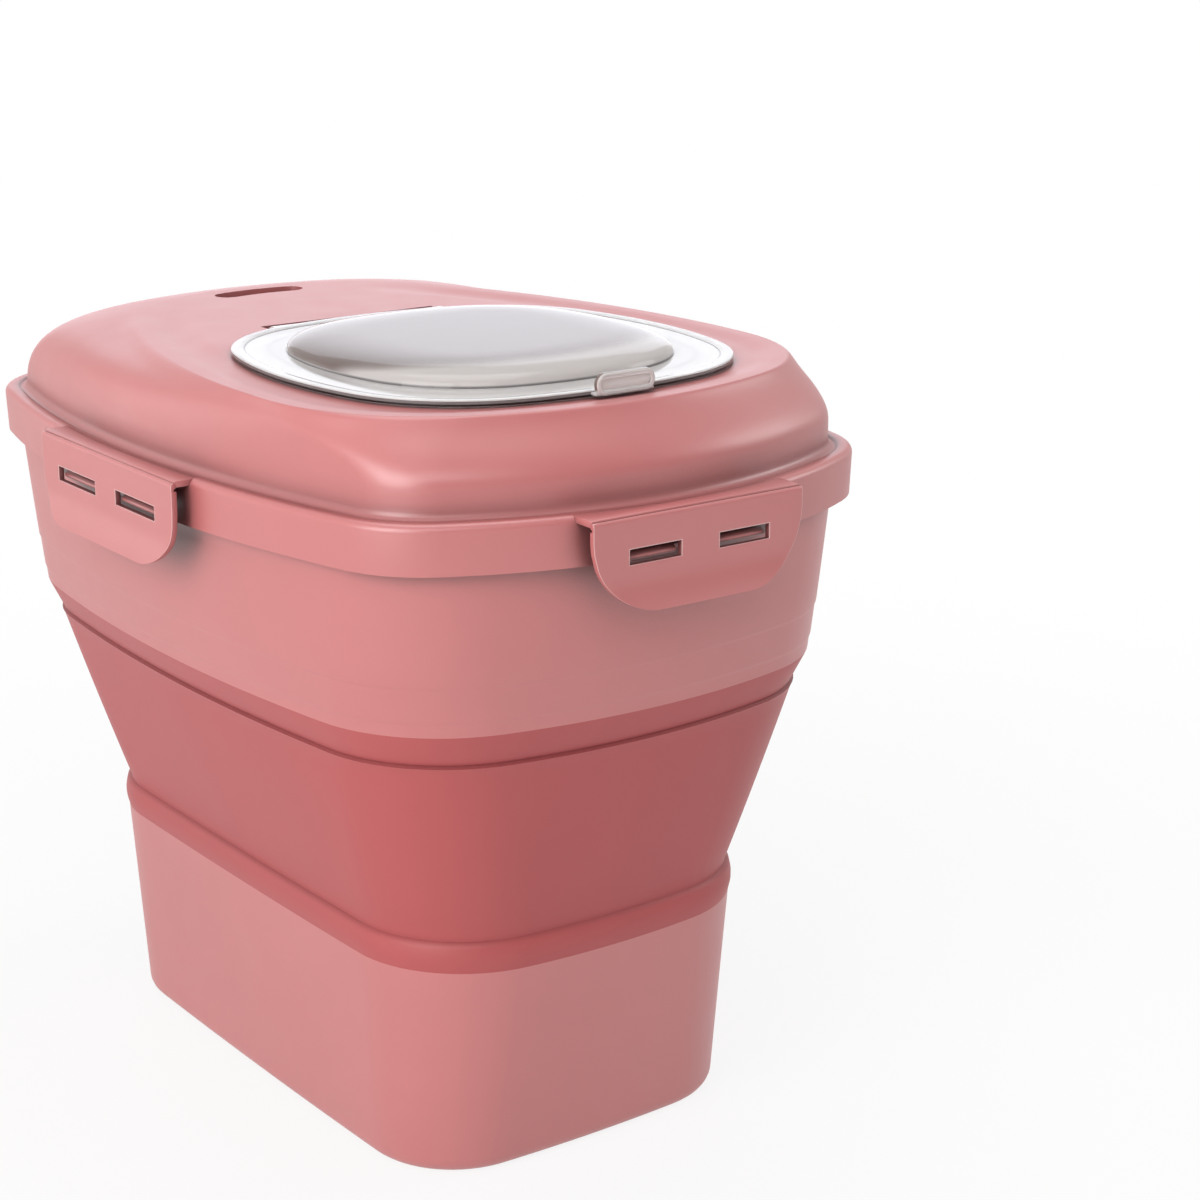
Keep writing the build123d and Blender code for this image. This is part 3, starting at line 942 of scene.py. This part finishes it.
@dataclass
class Collar:
    """Stiff upper ring: stepped foot, drafted wall and a wide rim with catch teeth."""

    heights: Heights
    outlines: Outlines
    sides: Sequence[Side]
    wall: float = WALL
    shoulder: float = 0.223
    shoulder_rise: float = 0.0035
    rim_gap: float = 0.0029
    rim_seat: float = 0.008
    step: float = 0.00035
    steps_at: tuple[float, ...] = (0.0048, 0.0165)
    tooth_reach: float = 0.0024
    tooth_root: float = 0.006
    tooth_chamfer: float = 0.0008
    tooth_ramp: float = 0.0014
    tooth_edge: float = 0.0003

    def build(self, materials: Mapping[Slot, bpy.types.Material]) -> bpy.types.Object:
        """Builds and dresses the collar.

        Args:
            materials: Finishes by slot.

        Returns:
            The collar.
        """
        low, rim = self.heights.collar_bottom, self.heights.rim_top
        lower, upper, skirt = self.outlines.collar_lower, self.outlines.collar_upper, self.outlines.skirt
        rise = self.shoulder - low

        def wall(height: float, steps: float) -> Level:
            """A level of the outer wall, some steps out."""
            return low + height, lower.towards(upper, height / rise).inset(-steps * self.step)

        levels = [wall(0.0, 0)]
        for count, height in enumerate(self.steps_at):
            levels += [wall(height - 2 * self.step, count), wall(height - self.step, count + 0.2),
                       wall(height + self.step, count + 0.8), wall(height + 2 * self.step, count + 1)]
        levels += [wall(rise * share, 2) for share in (0.45, 0.6, 0.75, 0.9)]
        levels += [wall(rise, 2), (self.shoulder + self.shoulder_rise, skirt.inset(self.rim_gap))]
        levels += quarter_round(skirt.inset(self.rim_gap), self.wall / 2, rim - self.wall / 2, 1, 4)
        levels += [(rim, skirt.inset(self.rim_seat)),
                   (self.shoulder + self.shoulder_rise + self.wall, skirt.inset(self.rim_seat)),
                   (self.shoulder + self.wall, upper.inset(self.wall)), (low, lower.inset(self.wall))]
        skin = Skin("collar_ring")
        skin.through(levels, closed=True)
        collar = skin.piece()
        settle(collar)
        self._teeth(collar)
        dress(collar, Slot.PINK, materials)
        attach(collar, "collar")
        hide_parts("collar")
        return collar

    def _teeth(self, collar: bpy.types.Object) -> None:
        """Adds two catch teeth a side to the collar's mesh.

        Args:
            collar: The collar.
        """
        teeth = []
        for side in self.sides:
            tip, root = -side.reach - self.tooth_reach, -side.reach + self.tooth_root
            low, high = side.tooth_low, side.tooth_high
            profile = [(root, low), (tip + self.tooth_chamfer, low), (tip, low + self.tooth_chamfer),
                       (tip, (low + high) / 2), (tip + self.tooth_ramp, high), (root, high)]
            half = side.slot_width / 2 - side.slot_play
            skin = Skin("tool")
            for hand in (-1, 1):
                bar(skin, profile, hand * side.slot_offset - half, hand * side.slot_offset + half)
            pair = skin.piece()
            soften(pair, self.tooth_edge)
            pair.data.transform(turned(side.turn))
            teeth.append(pair)
        join(collar, teeth)


@dataclass(frozen=True)
class Side:
    """Sizes of the latch on one side."""

    name: str
    turn: float
    reach: float
    width: float
    slot_width: float
    slot_offset: float
    corner: float
    slot_play: float = 0.0007
    slot_low: float = 0.2247
    slot_high: float = 0.2297
    tooth_low: float = 0.2254
    tooth_high: float = 0.2283
    axis_height: float = 0.2386
    axis_out: float = 0.0032

    @property
    def axis(self) -> float:
        """Place of the hinge axis in front of the middle, before the turn."""
        return -self.reach - self.axis_out


def latch_sides(skirt: Oval) -> list[Side]:
    """The four sides and their latches.

    Args:
        skirt: The lid's outermost outline.

    Returns:
        Front, rear, left and right.
    """
    return [
        Side("front", 0.0, skirt.front, 0.082, 0.020, 0.0175, 0.0235),
        Side("rear", 180.0, skirt.back, 0.082, 0.020, 0.0175, 0.0235),
        Side("left", -90.0, skirt.half_width, 0.096, 0.028, 0.0215, 0.019),
        Side("right", 90.0, skirt.half_width, 0.096, 0.028, 0.0215, 0.019),
    ]


@dataclass
class Lid:
    """Domed lid: skirt, rounded flange, dome and ridge, window dish, hand slot and hinge ledges."""

    heights: Heights
    outlines: Outlines
    sides: Sequence[Side]
    wall: float = WALL
    draft: float = 0.0006
    edge_round: float = 0.0024
    flange_width: float = 0.005
    brow: float = 0.0006
    brow_drop: float = 0.0002
    gutter: float = 0.0005
    cove: float = 0.0026
    cove_drop: float = 0.0007
    dome_inset: float = 0.0082
    upright: float = 0.34
    sway: float = 0.64
    fullness: float = 2.6
    side_reach: float = 0.97
    back_reach: float = 0.985
    ridge_round: float = 0.05
    ridge_height: float = 0.025
    crest: Triple = (0.0004, 0.0012, 0.0022)
    dish_depth: float = 0.0015
    valley_depth: float = 0.0011
    flank_depth: float = 0.0019
    flank: Span = (0.0, 0.0065)
    flank_rise: Span = (0.008, 0.026)
    flank_from: Span = (-0.135, -0.08)
    valley: Span = (0.0032, 0.0125)
    valley_rise: Span = (0.014, 0.026)
    rise_at: Span = (-0.012, 0.024)
    valley_end: Span = (0.05, 0.1)
    opening: float = 0.011
    lip: float = 0.002
    lip_drop: float = 0.0004
    rib: Triple = (0.009, 0.0108, 0.0076)
    hinge_y: float = HINGE_Y
    hinge_z: float = HINGE_Z
    hinge_half: float = 0.0363
    trough: Triple = (0.003, 0.004, 0.002)
    arm_reach: float = 0.01
    slot_place: float = 0.107
    slot_bend: float = 0.07
    slot_sweep: float = 22.0
    slot_half: float = 0.0052
    slot_depth: float = 0.004
    notch_margin: float = 0.0012
    notch_depth: float = 0.008
    notch_gap: float = HAIR
    ledge_back: float = 0.0003
    ledge_drop: float = 0.0006
    ledge_root: float = 0.004
    ledge_edge: float = 0.0005

    def shares(self, rise: float) -> Triple:
        """How far the dome has come from its foot to the ridge.

        Args:
            rise: Share of the dome's height.

        Returns:
            The shares at the front, at the sides and at the back.
        """
        def full(share: float) -> float:
            """The full profile, upright below and level at the top."""
            return 1 - max(1 - share ** self.fullness, 0.0) ** (1 / self.fullness)

        run = max(rise - self.upright, 0.0) / (1 - self.upright)
        turn = max((rise - 1 + self.ridge_height) / self.ridge_height, 0.0)
        edge = self.ridge_round * (1 - math.sqrt(max(1 - turn * turn, 0.0)))
        front = self.sway * smoothstep(run) + (1 - self.sway) * run * run + edge
        side, back = (full(rise * reach) / full(reach) for reach in (self.side_reach, self.back_reach))
        return front, side + edge, back

    def dome(self, gap: float, low: float, high: float, rises: Iterable[float]) -> list[Level]:
        """Levels of the dome.

        Args:
            gap: How far inside the outer face they lie.
            low: Height of the foot.
            high: Height of the ridge.
            rises: Shares of the height.

        Returns:
            The levels from foot to ridge.
        """
        foot = self.outlines.skirt.inset(self.dome_inset + gap)
        ridge = self.outlines.ridge.inset(gap)
        return [(low + (high - low) * rise, foot.towards(ridge, *self.shares(rise))) for rise in rises]

    def outside(self) -> list[Level]:
        """Levels of the outer face, from the skirt's lower edge to the ridge.

        Returns:
            The levels.
        """
        skirt, top = self.outlines.skirt, self.heights.flange_top
        base = top - self.cove_drop
        levels = [(self.heights.skirt_bottom, skirt.inset(self.draft))]
        levels += quarter_round(skirt, self.edge_round, top - self.edge_round, 1)
        levels += [(top, skirt.inset(self.flange_width - self.brow)),
                   (top - self.brow_drop, skirt.inset(self.flange_width)),
                   (base, skirt.inset(self.flange_width + self.gutter))]
        span = self.heights.ridge - base
        low_rises = [self.cove * (1 - math.cos(math.radians(angle))) / span for angle in (25, 40, 55, 70, 90)]
        high_rises = [math.sin(math.radians(angle)) for angle in range(8, 82, 4)]
        high_rises += [0.993, 0.996, 0.998, 0.9992, 1.0]
        for height, outline in self.dome(0.0, base, self.heights.ridge, low_rises + high_rises):
            rise = min((height - base) / self.cove, 1.0)
            hollow = self.cove * (1 - math.sqrt(max(1 - (1 - rise) ** 2, 0.0)))
            levels.append((height, outline.inset(-hollow)))
        return levels

    def top(self) -> list[Level]:
        """Levels of the top, from the ridge to the window's opening.

        Returns:
            The levels.
        """
        ridge = self.heights.ridge
        edge = self.dome(0.0, 0.0, ridge, [1.0])[0][1]
        low, high = self.valley
        opening = self.outlines.window.inset(self.opening)
        levels = [(ridge, edge.inset(inset)) for inset in self.crest]
        levels += [(ridge, edge.inset(low + (high - low) * step / 8)) for step in range(9)]
        levels += [(ridge, edge.inset(high).towards(opening.inset(-self.lip), step / 12)) for step in range(1, 13)]
        lip = ridge - self.lip_drop
        return levels + [(lip, opening.inset(-self.lip)), (lip, opening), (self.heights.panel_under, opening)]

    def sink(self, rings: Sequence[Ring], ridge: int) -> None:
        """Lowers the rings into the valley inside the ridge and the hollow flank outside it.

        Args:
            rings: Rings from the dome's upper half to the window's lip.
            ridge: Number of the ridge's own ring.
        """
        def eased(value: float, span: Span) -> float:
            """An eased share of the way through a span."""
            return smoothstep(min(max((value - span[0]) / (span[1] - span[0]), 0.0), 1.0))

        for number, ring in enumerate(rings):
            for start, vertex in zip(rings[ridge], ring):
                gap = (vertex.co.xy - start.co.xy).length
                ahead = 1 - eased(vertex.co.y, self.valley_end)
                if number > ridge:
                    rise = eased(gap, self.valley_rise) * eased(vertex.co.y, self.rise_at)
                    vertex.co.z -= self.valley_depth * eased(gap, self.valley) * (1 - rise) * ahead
                else:
                    hollow = eased(gap, self.flank) * (1 - eased(gap, self.flank_rise))
                    vertex.co.z -= self.flank_depth * hollow * ahead * eased(vertex.co.y, self.flank_from)

    def inside(self) -> list[Level]:
        """Levels of the inner face, from the opening to the skirt's lower edge.

        Returns:
            The levels.
        """
        skirt, under = self.outlines.skirt, self.heights.flange_under
        rises = [math.sin(math.radians(angle)) for angle in range(90, -1, -10)]
        outer, inner, depth = self.rib
        levels = self.dome(self.wall, under, self.heights.panel_under, rises)
        levels += [(under, skirt.inset(inner)), (under - depth, skirt.inset(inner)),
                   (under - depth, skirt.inset(outer)), (under, skirt.inset(outer)), (under, skirt.inset(self.wall))]
        return levels + [(self.heights.skirt_bottom, skirt.inset(self.wall + self.draft))]

    def slot_tool(self) -> bpy.types.Object:
        """The curved hand slot, as a tool.

        Returns:
            A closed mesh.
        """
        half, centre = math.radians(self.slot_sweep / 2), self.slot_place - self.slot_bend
        points = []
        for outward, start in ((1, -half), (-1, half)):
            for step in range(13):
                angle = start * (1 - step / 6)
                radius = self.slot_bend + outward * self.slot_half
                points.append((radius * math.sin(angle), centre + radius * math.cos(angle)))
            end = -start
            for step in range(1, 8):
                turn = math.pi * step / 8
                along, across = self.slot_half * math.sin(turn), self.slot_half * math.cos(turn) * outward
                radius = self.slot_bend + across
                shift = math.copysign(along, end)
                points.append((radius * math.sin(end) + shift * math.cos(end),
                               centre + radius * math.cos(end) - shift * math.sin(end)))
        skin = Skin("tool")
        skin.stack([skin.ring(Vector((x, y, self.heights.ridge + side * self.slot_depth)) for x, y in points)
                    for side in (-1, 1)], capped=True)
        return skin.piece()

    def cuts(self) -> list[bpy.types.Object]:
        """Tools for the hinge trough, the hand slot and the notches behind the latches.

        Returns:
            Closed meshes.
        """
        front, back, depth = self.trough
        above = self.heights.ridge + self.slot_depth
        floor = self.heights.ridge - self.dish_depth
        tools = [
            box_tool((-self.hinge_half, self.hinge_y - front, self.hinge_z - depth),
                     (self.hinge_half, self.hinge_y + back, above)),
            box_tool((-self.hinge_half, self.hinge_y - self.arm_reach, floor), (self.hinge_half, self.hinge_y, above)),
            self.slot_tool(),
        ]
        for side in self.sides:
            half = side.slot_offset + side.slot_width / 2 + self.notch_margin
            low, high = self.heights.skirt_bottom - self.wall, self.heights.flange_under - self.notch_gap
            tools.append(box_tool((-half, -side.reach - self.notch_depth, low),
                                  (half, -side.reach + self.notch_depth, high), side.turn))
        return tools

    def ledges(self) -> list[bpy.types.Object]:
        """Ledges that carry the latches' hinges.

        Returns:
            One ledge a side.
        """
        made = []
        for side in self.sides:
            ledge = box_tool((-side.width / 2, side.axis + self.ledge_back, side.axis_height - self.ledge_drop),
                             (side.width / 2, -side.reach + 2 * self.ledge_root, self.heights.flange_top), side.turn)
            skin = Skin("tool")
            inner = self.outlines.skirt.inset(self.ledge_root)
            skin.through([(self.heights.skirt_bottom, inner), (self.heights.ridge, inner)], capped=True)
            carve(ledge, [skin.piece()])
            soften(ledge, self.ledge_edge)
            made.append(ledge)
        return made

    def build(self, materials: Mapping[Slot, bpy.types.Material]) -> bpy.types.Object:
        """Builds and dresses the lid.

        Args:
            materials: Finishes by slot.

        Returns:
            The lid.
        """
        skin = Skin("lid_shell")
        outside, top = self.outside(), self.top()
        rings = skin.through(outside + top + self.inside(), closed=True)
        # The lip's three rings, the last of the top, stay where they are.
        upper = len(outside) // 2
        self.sink(rings[upper:len(outside) + len(top) - 3], len(outside) - 1 - upper)
        lid = skin.piece()
        settle(lid)
        carve(lid, self.cuts())
        join(lid, self.ledges())
        dress(lid, Slot.PINK, materials)
        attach(lid, "lid")
        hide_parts("lid")
        return lid


@dataclass
class Window:
    """Clear flip window: rounded rim, raised crown, plug rib, thumb tab and hinge arm."""

    heights: Heights
    outlines: Outlines
    seat: float = HAIR
    thick: float = 0.0012
    rim: Span = (0.0045, 0.0005)
    line: float = 0.0005
    edge: Span = (0.0014, 0.0006)
    chamfer: float = 0.0003
    edge_end: float = -0.004
    edge_fade: float = 0.012
    crown_height: float = 0.0064
    crown_width: float = 0.03
    crown_power: float = 2.6
    crown_steps: int = 14
    crown_crowding: float = 1.7
    plug: Triple = (0.012, 0.0136, 0.0052)
    tab_width: float = 0.023
    tab_height: float = 0.0072
    tab_thick: float = 0.0024
    tab_ahead: float = 0.0034
    tab_root: float = 0.004
    tab_round: float = 0.0034
    tab_border: float = 0.0018
    tab_recess: float = 0.0008
    tab_edge: float = 0.0005
    hinge_y: float = HINGE_Y
    hinge_z: float = HINGE_Z
    hinge_half: float = 0.036
    arm_crest: Span = (0.0009, 0.0012)
    arm_heel: Span = (-0.0014, -0.0005)
    arm_bend: Span = (0.0036, 0.004)
    arm_reach: float = 0.009
    barrel: float = 0.0015
    pin: float = 0.001
    pin_length: float = 0.0036

    def crown(self, drop: float) -> list[Level]:
        """Levels of the crown from its foot towards its middle.

        Args:
            drop: How far they lie under the outer face.

        Returns:
            The levels.
        """
        levels = []
        for step in range(self.crown_steps + 1):
            share = (step / self.crown_steps) ** self.crown_crowding
            rise = (1 - (1 - share) ** self.crown_power) ** (1 / self.crown_power)
            levels.append((self.top + self.crown_height * rise - drop,
                           self.outlines.crown.inset(self.crown_width * share + drop)))
        return levels

    @property
    def low(self) -> float:
        """Underside of the flange."""
        return self.heights.ridge - self.seat

    @property
    def top(self) -> float:
        """Top of the flange inside its rim."""
        return self.low + self.thick

    def build(self, materials: Mapping[Slot, bpy.types.Material]) -> bpy.types.Object:
        """Builds and dresses the window.

        Args:
            materials: Finishes by slot.

        Returns:
            The window.
        """
        outline = self.outlines.window
        width, rise = self.rim
        rim_top = self.top + rise
        half = width / 2
        edge_width, edge_drop = self.edge
        levels = [(self.low, outline.inset(edge_width)), (self.low, outline.inset(edge_width - HAIR)),
                  (self.low, outline.inset(self.chamfer)), (self.low + self.chamfer, outline)]
        levels += quarter_round(outline, rise, rim_top - rise, 1, 5)
        levels += [(rim_top, outline.inset(half)), (rim_top - HAIR, outline.inset(half * 1.4)),
                   (rim_top - rise * 0.5, outline.inset(half * 1.8)), (self.top, outline.inset(width)),
                   (self.top, outline.inset(width + self.line))]
        outer = [(self.top, self.outlines.crown.inset(-self.line))] + self.crown(0.0)
        inner = self.crown(self.thick)
        plug_out, plug_in, depth = self.plug
        skin = Skin("flip_window")
        rings = skin.through(levels + outer)
        # Lines of painted shade run along the outer edge, the rim's inner foot and the crown's foot.
        drawn = (3, 4, len(levels) - 2, len(levels) + 1)
        for vertex in (vertex for place in drawn for vertex in rings[place]):
            vertex[skin.lines] = 1.0
        # The lower edge hangs over the lid towards the front.
        for vertex in (vertex for ring in rings[1:4] for vertex in ring):
            share = min(max((self.edge_end - vertex.co.y) / self.edge_fade, 0.0), 1.0)
            vertex.co.z -= edge_drop * smoothstep(share)
        self._close(skin, rings[-1], self.top + self.crown_height)
        under = [(self.low, outline.inset(plug_out)), (self.low - depth, outline.inset(plug_out)),
                 (self.low - depth, outline.inset(plug_in)), (self.low, outline.inset(plug_in))] + inner
        lower = skin.through(under)
        skin.bridge(rings[0], lower[0])
        self._close(skin, lower[-1], self.top + self.crown_height - self.thick)
        window = skin.piece()
        settle(window, 40.0)
        join(window, [self._tab(), self._arm()])
        dress(window, Slot.CLEAR, materials)
        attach(window, "window")
        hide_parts("window")
        return window

    @staticmethod
    def _close(skin: Skin, ring: Ring, height: float) -> None:
        """Fills the crown's middle with shrinking rings.

        Args:
            skin: The window's skin.
            ring: The innermost ring.
            height: Height of the middle.
        """
        centre = sum((vertex.co for vertex in ring), Vector()) / len(ring)
        low = ring[0].co.z
        last = ring
        for share in (0.75, 0.5, 0.25):
            rise = low + (height - low) * (1 - share * share)
            after = skin.ring(Vector((*(centre.xy.lerp(vertex.co.xy, share)), rise)) for vertex in ring)
            skin.bridge(last, after)
            last = after
        tip = skin.mesh.verts.new((centre.x, centre.y, height))
        for index, vertex in enumerate(last):
            skin.mesh.faces.new((vertex, last[(index + 1) % len(last)], tip))

    def _tab(self) -> bpy.types.Object:
        """The standing thumb tab at the front edge, with a bordered face.

        Returns:
            The tab with its root.
        """
        front = -self.outlines.window.front - self.tab_ahead
        middle = self.low + self.tab_height / 2

        def rounded(inset: float) -> list[tuple[float, float]]:
            """Points of the tab's outline.

            Args:
                inset: How far inside its edge they lie.

            Returns:
                Places across the tab and above its middle.
            """
            half_x, half_z = self.tab_width / 2 - inset, self.tab_height / 2 - inset
            radius = max(self.tab_round - inset, self.tab_edge)
            points = []
            for quarter, (sx, sz) in enumerate(((1, -1), (1, 1), (-1, 1), (-1, -1))):
                for step in range(7):
                    angle = math.radians(-90 + 90 * quarter + 15 * step)
                    points.append((sx * (half_x - radius) + radius * math.cos(angle),
                                   sz * (half_z - radius) + radius * math.sin(angle)))
            return points

        skin = Skin("tool")
        edge, border, back = self.tab_edge, self.tab_border, self.tab_thick
        section = ((edge, back), (0.0, back - edge), (0.0, edge), (edge, 0.0), (border - edge, 0.0), (border, edge),
                   (border, self.tab_recess))
        skin.stack([skin.ring(Vector((x, front + depth, middle + z)) for x, z in rounded(inset))
                    for inset, depth in section], capped=True)
        tab = skin.piece()
        settle(tab)
        half = self.tab_width / 2
        root = box_tool((-half, front + self.tab_recess, self.low),
                        (half, front + self.tab_thick + self.tab_root, self.top - HAIR))
        soften(root, self.tab_edge)
        join(tab, [root])
        return tab

    def _arm(self) -> bpy.types.Object:
        """The arm that carries the hinge barrel, with the barrel and its stub pins.

        Returns:
            The arm with its barrel.
        """
        upper, under = self.top - self.hinge_z, self.low - self.hinge_z
        upper_bend, under_bend = self.arm_bend
        profile = [self.arm_crest, (-upper_bend, upper), (-self.arm_reach, upper), (-self.arm_reach, under),
                   (-under_bend, under), self.arm_heel]
        skin = Skin("tool")
        bar(skin, [(self.hinge_y + y, self.hinge_z + z) for y, z in profile], -self.hinge_half, self.hinge_half)
        for half, radius in ((self.hinge_half, self.barrel), (self.hinge_half + self.pin_length, self.pin)):
            bar(skin, circle(radius, self.hinge_y, self.hinge_z), -half, half)
        arm = skin.piece()
        settle(arm)
        return arm


@dataclass
class Latch:
    """Snap flap: slotted plate with round corners, an outward lip and a rolled hinge edge."""

    side: Side
    bottom: float = 0.21
    neck_length: float = 0.0018
    neck_back: float = 0.00005
    thick: float = 0.002
    flare: float = 0.0036
    flare_start: float = 0.2215
    bead: float = 0.001
    edge: float = 0.00035

    def half_width(self, height: float) -> float:
        """Half the flap's width at a height.

        Args:
            height: Height above the floor.

        Returns:
            The half width.
        """
        half, corner = self.side.width / 2, self.side.corner
        lack = max(1 - (height - self.bottom) / corner, 0.0)
        return half - corner * (1 - math.sqrt(max(1 - lack * lack, 0.0)))

    def columns(self, height: float) -> list[float]:
        """Places of the plate's columns at a height, with the slots' sides among them.

        Args:
            height: Height above the floor.

        Returns:
            Places across the flap, from left to right.
        """
        side = self.side
        inner, outer = side.slot_offset - side.slot_width / 2, side.slot_offset + side.slot_width / 2
        half = self.half_width(height)
        shrink = half / self.half_width(side.slot_low) if height < side.slot_low else 1.0
        inner, outer = inner * shrink, outer * shrink
        right = [inner * share for share in (0.5, 1.0)]
        right += [inner + (outer - inner) * share for share in (0.25, 0.5, 0.75, 1.0)]
        right += [outer + (half - outer) * share for share in (0.3, 0.6, 0.85, 1.0)]
        return [-place for place in reversed(right)] + [0.0] + right

    def rows(self) -> list[Triple]:
        """Rows of the plate.

        Returns:
            Height, front and back of each row, the last two measured from the hinge axis.
        """
        side, half, top = self.side, self.thick / 2, self.side.axis_height
        neck = top - self.neck_length
        span = side.slot_low - self.bottom
        heights = [self.bottom + span * (1 - math.cos(math.radians(angle))) for angle in range(0, 90, 6)]
        heights += [side.slot_low, side.slot_high, (side.slot_high + neck) / 2, neck]
        rows = []
        for height in heights:
            lean = max((self.flare_start - height) / (self.flare_start - self.bottom), 0.0)
            rows.append((height, -half - self.flare * lean * lean, half - self.flare * lean * lean))
        rows += [(neck + HAIR, -half, self.neck_back), (top - self.bead, -half, self.neck_back)]
        for angle in range(-60, 90, 20):
            rise, reach = self.bead * math.sin(math.radians(angle)), self.bead * math.cos(math.radians(angle))
            rows.append((top + rise, -half if angle < 0 else -reach, reach))
        return rows

    def build(self, materials: Mapping[Slot, bpy.types.Material]) -> bpy.types.Object:
        """Builds and dresses the latch.

        Args:
            materials: Finishes by slot.

        Returns:
            The latch.
        """
        side = self.side
        skin = Skin(f"{side.name}_flap")
        rows = self.rows()
        fronts = [skin.ring(Vector((x, side.axis + front, z)) for x in self.columns(z)) for z, front, _ in rows]
        backs = [skin.ring(Vector((x, side.axis + back, z)) for x in self.columns(z)) for z, _, back in rows]
        slot_row = [height for height, _, _ in rows].index(side.slot_low)
        count = len(fronts[0])
        middle = count // 2
        # Four cells to either side of the middle are open in the slots' row.
        slot_columns = {middle + hand * (2 + step) - (hand < 0) for hand in (-1, 1) for step in range(4)}
        cells = {(row, column) for row in range(len(rows) - 1) for column in range(count - 1)
                 if row != slot_row or column not in slot_columns}
        for row, column in cells:
            corners = ((row, column), (row, column + 1), (row + 1, column + 1), (row + 1, column))
            for grid in (fronts, backs):
                skin.mesh.faces.new([grid[r][c] for r, c in corners])
            around = ((row - 1, column), (row, column + 1), (row + 1, column), (row, column - 1))
            for index, beyond in enumerate(around):
                if beyond not in cells:
                    (r, c), (s, d) = corners[index], corners[(index + 1) % 4]
                    skin.mesh.faces.new((fronts[r][c], fronts[s][d], backs[s][d], backs[r][c]))
                    # The open edges are marked for the finish's painted highlight.
                    fronts[r][c][skin.lines] = 1.0
                    fronts[s][d][skin.lines] = 1.0
        flap = skin.piece()
        soften(flap, self.edge, 3, 50.0)
        flap.data.transform(turned(side.turn))
        dress(flap, Slot.PINK, materials)
        node = f"{side.name}_latch"
        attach(flap, node)
        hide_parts(node)
        return flap


@dataclass
class Studio:
    """Floor, light and camera."""

    camera_place: Vector = field(default_factory=lambda: Vector((-0.49135, -0.78490, 0.43862)))
    camera_aim: Vector = field(default_factory=lambda: Vector((0.56859, 0.77354, -0.27991)))
    field_of_view: float = 25.67
    floor_size: float = 40.0
    floor_drop: float = 0.0003
    world_strength: float = 0.24
    front_fade: Span = (-0.7, 0.3)
    front_glow: float = 0.2
    lamp_aim: Triple = (0.0, 0.0, 0.16)

    def build(self) -> None:
        """Builds the floor, the world, the lamps and the camera."""
        self._floor()
        self._world()
        self._lamp("key", (-1.5, -0.55, 0.8), 1.2, 20.0)
        self._lamp("front", (-0.7, -1.3, 1.35), 0.8, 5.0)
        self._lamp("top", (0.1, 0.2, 1.7), 1.1, 8.5)
        self._lamp("fill", (1.5, -0.6, 0.9), 0.7, 6.0)
        self._lamp("sheen", (0.8, 1.35, 0.5), 1.3, 4.6, (0.84, 0.87, 1.0))
        self._lamp("rim", (-1.1, 1.5, 0.35), 1.0, 2.4)
        self._camera()

    def _floor(self) -> None:
        """Adds the floor."""
        skin = Skin("floor")
        bmesh.ops.create_grid(skin.mesh, x_segments=1, y_segments=1, size=self.floor_size / 2)
        floor = skin.piece()
        floor.location.z = -self.floor_drop
        pale = StudioFloor("pale_floor", (0.9, 0.9, 0.89)).material()
        pale.cycles.emission_sampling = "NONE"
        floor.data.materials.append(pale)

    def _world(self) -> None:
        """Lights the scene, with white behind it and a dimmer front in reflections."""
        world = bpy.data.worlds.new("studio")
        world.use_nodes = True
        bpy.context.scene.world = world
        graph = Graph(world.node_tree)
        path = graph.node("ShaderNodeLightPath", output="Is Camera Ray")
        back = graph.axes(graph.node("ShaderNodeTexCoord", output="Generated"), "Y").step(*self.front_fade)
        glossy = path.output("Is Glossy Ray") * (back * (1 - self.front_glow) + self.front_glow)
        seen = (path + glossy + path.output("Is Transmission Ray")).clamped()
        sky = graph.node("ShaderNodeBackground", sockets={
            "Color": (1.0, 1.0, 1.0, 1.0), "Strength": self.world_strength + seen * (1 - self.world_strength)})
        graph.node("ShaderNodeOutputWorld", sockets={"Surface": sky})

    def _lamp(self, name: str, place: Triple, size: float, power: float, colour: Colour = (1.0, 1.0, 1.0)) -> None:
        """Adds a soft area lamp that faces the container.

        Args:
            name: The lamp's name.
            place: Where it hangs.
            size: Side of its square panel.
            power: Power in watts.
            colour: Colour of its light.
        """
        data = bpy.data.lights.new(name, "AREA")
        data.color = colour
        data.size = size
        data.energy = power
        lamp = bpy.data.objects.new(name, data)
        lamp.location = place
        aim = Vector(self.lamp_aim) - Vector(place)
        lamp.rotation_euler = aim.to_track_quat("-Z", "Y").to_euler()
        bpy.context.scene.collection.objects.link(lamp)

    def _camera(self) -> None:
        """Adds the camera at the photograph's view."""
        data = bpy.data.cameras.new("camera")
        data.sensor_fit = "HORIZONTAL"
        data.angle = math.radians(self.field_of_view)
        camera = bpy.data.objects.new("camera", data)
        camera.location = self.camera_place
        camera.rotation_euler = self.camera_aim.to_track_quat("-Z", "Y").to_euler()
        bpy.context.scene.collection.objects.link(camera)
        bpy.context.scene.camera = camera


def main() -> None:
    """Builds the container's looks round the frame."""
    logging.basicConfig(level=logging.INFO, format="%(message)s")
    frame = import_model()
    bpy.context.scene.view_settings.view_transform = "Standard"
    materials = {slot: finish.material() for slot, finish in FINISHES.items()}
    for row in frame["record"]["subparts"]:
        dress(frame["nodes"][row["node"]], Slot(row["material_slot"]), materials)
    heights = Heights.from_frame()
    outlines = Outlines()
    sides = latch_sides(outlines.skirt)
    assemblies = [Tub(heights, outlines), FoldingWall(heights, outlines), Collar(heights, outlines, sides),
                  Lid(heights, outlines, sides), Window(heights, outlines)]
    for assembly in assemblies + [Latch(side) for side in sides]:
        piece = assembly.build(materials)
        LOG.info("built %s with %d faces", piece.name, len(piece.data.polygons))
    Studio().build()


if __name__ == "__main__":
    main()
